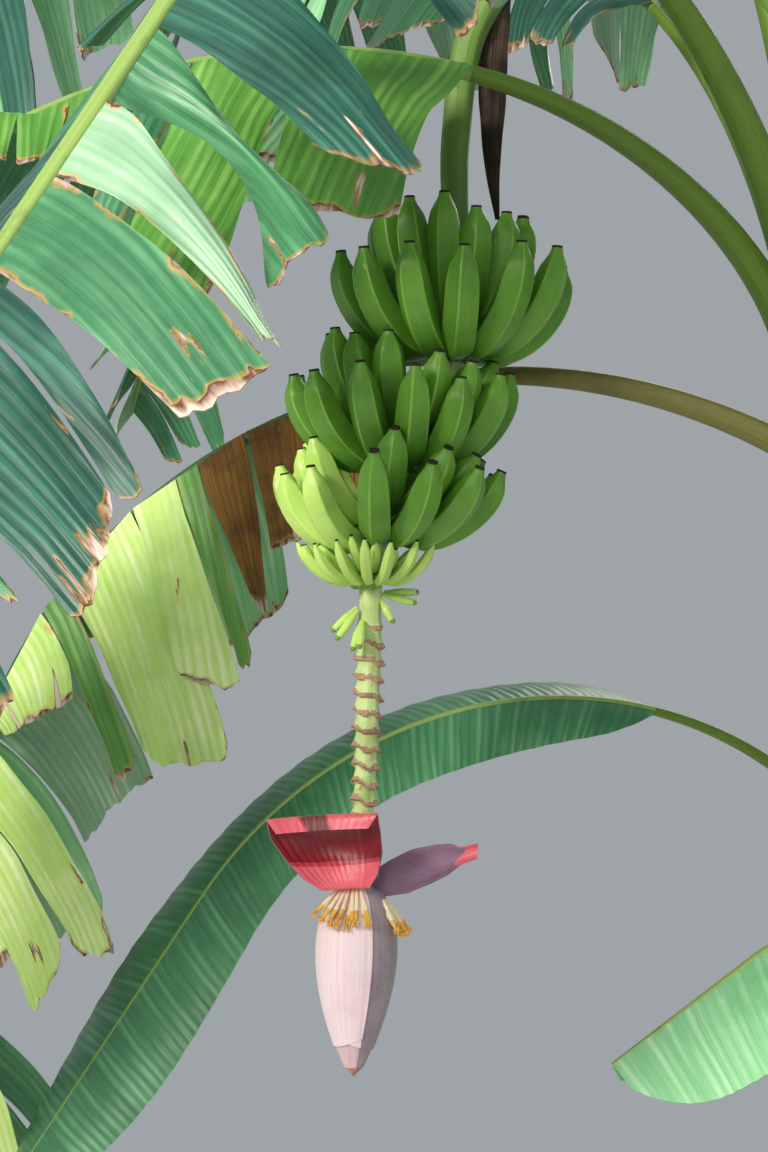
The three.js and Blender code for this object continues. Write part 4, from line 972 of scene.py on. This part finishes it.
def finger_patch(root, azimuth, slopes, length, girth):
    """One finger: its middle line is a sum of short steps whose slope turns up; its ring is a
    pentagon half-way rounded, scaled by its width along the finger."""
    out = np.array([np.cos(azimuth), np.sin(azimuth), 0])
    across = np.array([-np.sin(azimuth), np.cos(azimuth), 0])
    steps = aimed(finger_slope(slopes, (np.arange(100) + 0.5) / 100), azimuth)
    path = root + np.concatenate([[[0, 0, 0]], np.cumsum(steps, 0)]) * length / 100
    shares = np.concatenate([np.linspace(0, 0.3, 9)[:-1], np.linspace(0.3, 0.84, 10)[:-1],
                             [0.84, 0.87, 0.895, 0.92, 0.945, 0.97, 0.985, 0.99, 1]])
    slope = finger_slope(slopes, shares)[:, None]
    up = SKY * np.cos(slope) - out * np.sin(slope)
    angle = np.radians(np.add.outer(np.arange(5) * 72, [32.5, 39.5, 56, 72, 88]).ravel())
    ridge = (angle - 0.2 * np.pi) % (0.4 * np.pi)
    pentagon = np.cos(0.2 * np.pi) / np.cos(ridge - 0.2 * np.pi)
    plump = np.clip(np.sin(np.pi * np.clip((shares - 0.08) / 0.9, 0, 1)) * 2, 0, 1)[:, None]
    shape = lerp(1, lerp(1, pentagon / 0.9, 0.9), plump)
    radius = np.interp(shares, FINGER_SHARES, FINGER_WIDTHS)[:, None] * girth / 2 * shape
    shares = shares[:, None]
    # Kind 1 is the narrow face on each ridge, which takes the ridge finish: a painted highlight where the
    # skin is not painted sunlit
    kinds = np.where(np.arange(angle.size) % 5 == 0, 1, 0)
    kinds = np.where(shares[:-1] < 0.15, 2, np.where(shares[:-1] > 0.98, 3, kinds))
    line = read_line(shares[:, 0], np.linspace(0, 1, 101), path)
    return rod(line, across, up, round_outline(radius, angle), girth * 1.57 / 100, kinds)


def loose_fingers():
    """The few short fingers that hang on the stalk below the last hand."""
    patches = []
    share = np.linspace(0, 1, 12)[:, None]
    wide = np.interp(share, [0, 0.12, 0.45, 0.85, 1], [2.2, 2.8, 5.4, 4.6, 2.4])
    for root, tip in np.array(LOOSE_FINGERS, float):
        along = unit(tip - root)
        across = unit(np.cross(along, [0.1, 1.0, 0.2]))
        up = np.cross(along, across)
        line = lerp(root, tip, share) + up * 3 * np.sin(np.pi * share)
        patches.append(rod(line, across, up, round_outline(wide, ring(10)), 0.3, (share[:-1] > 0.9) * 2))
    return patches


def hand_patches(spec, seed):
    """A hand: two rows of fingers, the upper one set half a finger round and turning up sooner. They
    sit on a round bar that is bent about the stalk and swells under each finger."""
    middle = np.radians(spec["middle"])
    spread = np.radians(spec["spread"])
    centre = stalk_at(spec["height"])
    scale = spec["finger"] / HANDS[0]["finger"]
    patches = []
    order = [(row, i) for row in (0, 1) for i in range(spec["count"] - row)]
    for (row, i), pick in zip(order, spec["picks"]):
        if pick == "-":
            continue
        shorter, lower = FINGER_TRIES[int(pick)]
        jitter = float(chance(seed, row * 20 + i)) - 0.5
        angle = middle + spread * ((i + 0.5 * row) / (spec["count"] - 1) - 0.5)
        root = centre + [HAND["root"] * np.cos(angle), HAND["root"] * np.sin(angle),
                         row * HAND["rise"] * scale]
        slopes = (spec["slope"][0] + row * HAND["turn"] + 8 * jitter - lower,
                  spec["slope"][1] + row * 4 - lower / 2)
        length = spec["finger"] * (0.92 if row else 1) * (1 + 0.1 * jitter) * shorter
        patches.append(finger_patch(root, angle + 0.1 * jitter, slopes, length, spec["girth"]))
    count = 30
    angle = middle + (spread - np.radians(34)) * np.linspace(-0.5, 0.5, count)
    out = aimed(np.zeros(count), angle)
    line = centre + out * HAND["bar_reach"] + SKY * HAND["bar_rise"] * scale
    thick = min(HAND["bar_half"], 0.7 * spec["girth"])
    swell = thick * (1 + 0.07 * np.sin(angle * spec["count"] / spread * 2 * np.pi))
    ends = np.clip(np.minimum(np.arange(count), np.arange(count)[::-1]) / 2.5 + 0.3, 0, 1)
    outline = round_outline((swell * ends)[:, None], ring(18)) * [1, 1.5]
    patches.append(rod(line[::-1], out[::-1], SKY, outline, 1.0, 2))
    return patches


# Bud, bracts and flowers

def bud_radius(share):
    past = np.maximum(0, share - BUD["held"]) / (1 - BUD["held"])
    swell = np.sin(np.pi * past ** 0.62 * 0.985) ** 0.8
    return lerp(BUD["neck"], BUD["end"], share) * (1 - swell) + BUD["radius"] * swell


def bud_axis(share):
    return together(BUD["x"] + BUD["shift"] * share, BUD["y"], lerp(BUD["top"], BUD["tip"], share))


def purple_and_shade_side(angle):
    """Whether each place round the bud, given in degrees, is on its purple-grey side, which is
    partly the bracts' own colour and partly painted shade.
    """
    return (angle % 360 > 285) | (angle % 360 < 75)


def bud_core():
    """The bud's inner drop, whose tip shows below the outer bracts."""
    share = np.linspace(0, 1, 60)[:, None]
    angle = ring(48)
    wide = (bud_radius(share) - 0.5) * (1 + 0.012 * np.sin(3 * angle))
    wide = wide + 0.3 * np.sin(angle * 30) * np.sin(np.pi * share)
    wide = np.maximum(wide * np.clip((1 - share) / 0.05, 0, 1) ** 0.6, 0.6)
    # The core's purple-grey side is partly painted shade
    kinds = np.where(share[:-1] > 0.94, 2, np.where(purple_and_shade_side(np.degrees(-angle)), 1, 3))
    return rod(bud_axis(share[:, 0]), EAST, NORTH, round_outline(wide, -angle), 1.6, kinds)


def bud_bract(middle, spread, end, lift, shade):
    """An outer bract wrapped round the bud: part of a ring at each height, ending in a round edge,
    with fine ridges and its sides lifted a little from the bract below."""
    down = np.linspace(0, 1, 60)[:, None]
    side = np.linspace(-1, 1, 64)
    share = np.clip(0.015 + (end - 0.015) * down * (1 - 0.07 * side ** 2 * down), 0, 1)
    angle = np.radians(middle + spread * side * (1 - 0.05 * down ** 3))
    ridges = 0.35 * np.sin(angle * 46) * np.clip(np.sin(np.pi * down), 0, 1)
    wide = bud_radius(share) + lift * (0.5 + 0.5 * side ** 6) + ridges + 0.4 * down ** 8
    grid = bud_axis(share) + together(wide * np.cos(angle), wide * np.sin(angle), 0)
    # With shade set, the purple-grey side, partly painted shade, takes the second finish
    dark = purple_and_shade_side(np.degrees(angle[:-1, :-1])) & shade
    return sheet(grid, 1.2, together(angle * 0.5, share * 2.4), dark.astype(int))


def eased(values, count, marks):
    """Values on straight lines between their marks, at even steps and rounded off three times."""
    fine = np.interp(np.linspace(0, 1, count), marks, values)
    for _ in range(3):
        fine[1:-1] = 0.25 * fine[:-2] + 0.5 * fine[1:-1] + 0.25 * fine[2:]
    return fine[:, None]


def open_bract(keel, widths, cup, across, face, tube):
    """A lifted bract as a grid of points: each row crosses the keel and its sides rise as a square.
    Near the end the rows can roll into a tube: there their points go round a circle. Fine ridges run
    along it. Also gives the way along and across of each face."""
    rows, columns = 120, 80
    across, face = unit(np.array(across, float)), unit(np.array(face, float))
    marks = np.linspace(0, 1, len(widths))
    if len(widths) == len(keel):
        marks = runs_of(keel) / runs_of(keel)[-1]
    line = smooth_path(keel, rows)[0]
    share = np.linspace(0, 1, rows)[:, None]
    side = np.linspace(-1, 1, columns)
    half, rise = eased(widths, rows, marks), eased(cup, rows, marks)
    rolled = tube * np.clip((share - 0.72) / 0.2, 0, 1) ** 2
    turn = side * 2.9
    wide = lerp(half * side, half * 0.6 * np.sin(turn), rolled)
    high = lerp(rise * side ** 2, half * 0.6 * (1 - np.cos(turn)), rolled)
    grid = line[:, None] + across * wide[..., None] + face * high[..., None]
    grid = grid + normals(grid) * (0.2 * np.sin(side * 42))[:, None]
    return grid, together(side * 0.6, share * 1.2), *np.broadcast_arrays(share[:-1], side[1:])


def left_bract_patch():
    """The left bract's inside is painted light and shade: pink by the bud as painted sunlight and deep red
    further out as painted shade under the rolled end, with a rose band between. Its back is purple grey,
    but pink at the end that folds over, round a painted brown shadow of the stalk with a rose rim."""
    red, pink, grey, brown, rose = range(5)
    grid, uv, far, side = open_bract(**BRACT_LEFT)
    # The stalk's painted shadow on the folded end, with a rose rim
    stalk_shadow = np.abs(side + 0.12 + 0.05 * np.sin(far * 30)) - 0.22
    back = np.where(stalk_shadow < 0, brown, np.where(stalk_shadow < 0.05, rose, pink))
    # Painted sunlight by the bud, painted shade further out, and a rose band at the edge
    inner = far - 0.36 - 0.04 * side ** 2
    inside = np.where(inner < 0, pink, np.where(inner < 0.035, rose, red))
    return sheet(grid, 1.8, uv, np.where(far > 0.7, back, grey), inside)


def right_bract_patch():
    """The right bract is purple grey outside, pink at its rolled end, and deep red inside."""
    red, pink, grey = range(3)
    grid, uv, far, side = open_bract(**BRACT_RIGHT)
    return sheet(grid, 1.8, uv, np.where(far > 0.84 + 0.05 * np.sin(side * 5), pink, grey), red)


def flower_patches(root, way, across, count, pitch, length, seed):
    """A comb of male flowers: slim tubes side by side that fan out, with loose orange ends."""
    root, way, across = (np.array(value, float) for value in (root, way, across))
    share = np.linspace(0, 1, 9)[:, None]
    radius = np.interp(share, [0, 0.15, 0.6, 0.8, 1], [1.8, 2.4, 2.8, 3.2, 1.8])
    tube = round_outline(radius, ring(9))
    shape = round_outline(np.array([[1.5], [1.3], [0.5]]), ring(5))
    patches = []
    for i in range(count):
        side = 2 * i / (count - 1) - 1
        luck = chance(seed, i * 3 + np.arange(3)) - 0.5
        along = unit(way + across * (0.45 * side + 0.15 * luck[0]))
        wide = unit(across - along * (across @ along))
        up = np.cross(along, wide)
        start = root + across * pitch * side * count / 2 + up * 2.5 * (-1) ** i
        bend = wide * (6 * luck[1]) + up * (5 * luck[2])
        line = start + along * (share * length * (1 + 0.12 * luck[0])) + bend * share ** 2
        patches.append(rod(line, wide, up, tube, 0.3, (share[:-1] > 0.7).astype(int)))
        for prong in range(8):
            turn = prong * 2.4 + luck[0]
            tip = unit(along + (0.3 + 0.11 * prong) * (wide * np.cos(turn) + up * np.sin(turn)))
            square = unit(np.cross(tip, along + 0.01))
            stem = line[-1] + tip * np.array([-2, 4, 9 - 0.5 * prong])[:, None]
            patches.append(rod(stem, square, np.cross(tip, square), shape, 0.1, 1))
    return patches


def dried_sheath_patch():
    """The dried sheath beside the fruit stalk: a long point, crinkled by two sines across it."""
    centre = smooth_path(DRIED["path"], 50)[0]
    height = centre[:, 2:]
    side = np.linspace(-1, 1, 11)
    half = eased(DRIED["widths"], 50, np.linspace(0, 1, 5))
    crinkle = 1.6 * np.sin(height / 9 + side * 3) + 1.2 * np.sin(side * 9)
    grid = centre[:, None] + together(half * side, 5 * side ** 2 + crinkle * half / 18, 0)
    return sheet(grid, 2.5, together(side * 0.2, height / 100), 0)


# The plant

def grow_stems(ribs):
    heights = np.concatenate([np.linspace(0, 160, 18)[:-1], np.linspace(160, STEM["height"] - 6, 70)])
    rounded = np.concatenate([heights, [STEM["height"] - 1.5, STEM["height"]]])
    radius = np.concatenate([stem_radius(heights), [STEM["throat"] * 0.93, STEM["throat"] * 0.7]])
    patches = [stem_patch(stem_axis(rounded), radius, 4, 5)]
    patches += [throat_sheath(rib, order) for order, rib in enumerate(ribs)]
    finishes = [SHEATH_GREEN, SHEATH_DRY]
    piece("false_stem", patches, finishes, ["stem"])
    share = np.concatenate([np.linspace(0, 0.16, 12)[:-1], np.linspace(0.16, 1, 40)])
    for sucker in SUCKERS:
        foot = np.array([*sucker["foot"], 0.0])
        centre = lerp(foot, np.array(sucker["top"], float), share[:, None])
        flare = sucker["flare"] * np.exp(-share * sucker["top"][2] / STEM["flare_height"])
        radius = lerp(*sucker["radius"], share) + flare
        radius[-1] *= 0.8
        name = sucker["name"]
        piece(name + "_sheaths", [stem_patch(centre, radius, 3, 3.2)], finishes, [name + "_stem"])


def grow_leaf(name, rib, centre, sizes, blade, sheets, nodes):
    """The two pieces of a frond or a sucker leaf: its bare stalk, and its blade with the midrib."""
    stalk_sizes, rib_sizes = sizes
    stalk_finish = PETIOLE_BROWN if rib.spec["brown_stalk"] else PETIOLE_OLIVE
    rib_finish = RIB_DARK if rib.spec["dark_rib"] else RIB_PALE
    stalk = petiole_patch(rib, centre, stalk_sizes)
    piece(name + "_stalk", [stalk], [stalk_finish], [name + "_petiole"])
    piece(name + blade, sheets + [midrib_patch(rib, rib_sizes)], BLADE_FINISHES + [rib_finish],
          [name + node_end for node_end in nodes], crease=70)


def grow_fronds():
    throat = stem_axis(STEM["height"])
    ribs = [Rib(spec, throat, number + 1) for number, spec in enumerate(FRONDS)]
    for rib in ribs:
        grow_leaf(f"frond_{rib.number}", rib, throat, (PETIOLE, MIDRIB), "_blade", blade_patches(rib),
                  ["_blade_inner", "_blade_outer"])
    return ribs


def grow_suckers():
    sizes = (SUCKER_PETIOLE, SUCKER_PETIOLE)
    for first, sucker in zip((20, 25), SUCKERS):
        for i, spec in enumerate(sucker["leaves"]):
            rib = Rib(spec, sucker["top"], first + i)
            name = f"{sucker['name']}_leaf_{i + 1}"
            grow_leaf(name, rib, sucker["top"], sizes, "_sheet", leaf_patches(rib), spec["nodes"])


def grow_bunch():
    piece("fruit_stalk", [stalk_patch()], STALK_FINISHES,
          ["stalk_rising", "stalk_hanging", "stalk_bunch"])
    for i, spec in enumerate(HANDS):
        name = f"hand_{i + 1}"
        # Hands with painted sunlight take the brighter skin all round; the others take a painted highlight
        # on each ridge
        skin, ridge = (FRUIT_PAINTED_SUNLIGHT, FRUIT_PAINTED_SUNLIGHT) if spec["painted_sunlight"] else (FRUIT_GREEN, FRUIT_RIDGE_HIGHLIGHT)
        patches = hand_patches(spec, 11 + i) + (loose_fingers() if spec is HANDS[-1] else [])
        piece(name + "_fruit", patches, [skin, ridge, FRUIT_NECK, FRUIT_END], [name], crease=30)
    bud = [bud_core(), bud_bract(20, 150, 0.86, 0.8, True), bud_bract(190, 103, 0.84, 1.8, False)]
    piece("bud", bud, BUD_FINISHES, ["male_bud"])
    piece("lifted_bract_left", [left_bract_patch()], BRACT_FINISHES, ["bract_left"])
    piece("lifted_bract_right", [right_bract_patch()], BRACT_FINISHES[:3], ["bract_right"])
    for side, comb in (("left", FLOWERS_LEFT), ("right", FLOWERS_RIGHT)):
        piece("flowers_" + side, flower_patches(**comb), FLOWER_FINISHES, ["male_flowers_" + side])
    piece("dried_sheath_strip", [dried_sheath_patch()], [DRIED_FINISH], ["dried_sheath"])


# Floor, light and camera

FLOOR_RADIUS = 2.9
LIGHT_TARGET = np.array([-0.5, -0.1, 1.7])
# Name, place and size in metres, power and colour of each lamp
LAMPS = [
    ("key", (-3.7, -3.96, 3.8), 1.2, 330, (1, 0.95, 0.84)),
    ("front", (-1.6, -4.9, 3.4), 1.6, 110, (1, 0.97, 0.9)),
    ("fill", (3.4, -3.2, 2.6), 3.0, 30, (0.9, 0.96, 1)),
    ("rim", (1.2, 3.6, 4.4), 2.6, 90, (1, 0.97, 0.9)),
]


def studio():
    """A wide pale floor at the plant's foot, broad soft lights and the view of the photograph."""
    floor = bpy.data.meshes.new("floor")
    rim = aimed(np.zeros(96), ring(96)) * FLOOR_RADIUS
    floor.from_pydata(rim.tolist(), [], [list(range(96))])
    pale = bpy.data.materials.new("floor pale")
    pale.use_nodes = True
    shader = pale.node_tree.nodes["Principled BSDF"]
    shader.inputs["Base Color"].default_value = (0.66, 0.66, 0.64, 1)
    shader.inputs["Roughness"].default_value = 0.9
    floor.materials.append(pale)
    ground = placed("floor", floor)

    world = bpy.data.worlds.new("studio")
    bpy.context.scene.world = world
    world.use_nodes = True
    sky = world.node_tree.nodes["Background"]
    sky.inputs[0].default_value = (0.86, 0.93, 0.97, 1)
    sky.inputs[1].default_value = 0.4
    bpy.context.scene.view_settings.view_transform = "Standard"

    for name, place, size, power, colour in LAMPS:
        lamp = bpy.data.lights.new(name, "AREA")
        lamp.size = size
        lamp.energy = power
        lamp.color = colour
        back = unit(np.array(place) - LIGHT_TARGET)
        side = unit(np.cross(SKY, back))
        rows = zip(np.stack([side, np.cross(back, side), back], 1), place)
        placed(name, lamp).matrix_world = Matrix([[*row, shift] for row, shift in rows] + [[0, 0, 0, 1]])

    lens = bpy.data.cameras.new("view")
    lens.sensor_fit = "VERTICAL"
    lens.sensor_height = 36
    lens.lens = 65
    view = placed("view", lens)
    view.location = (-0.66, -2.66, 1.6)
    view.rotation_euler = (np.pi / 2, 0, 0)
    bpy.context.scene.camera = view


grow_stems(grow_fronds())
grow_suckers()
grow_bunch()
studio()
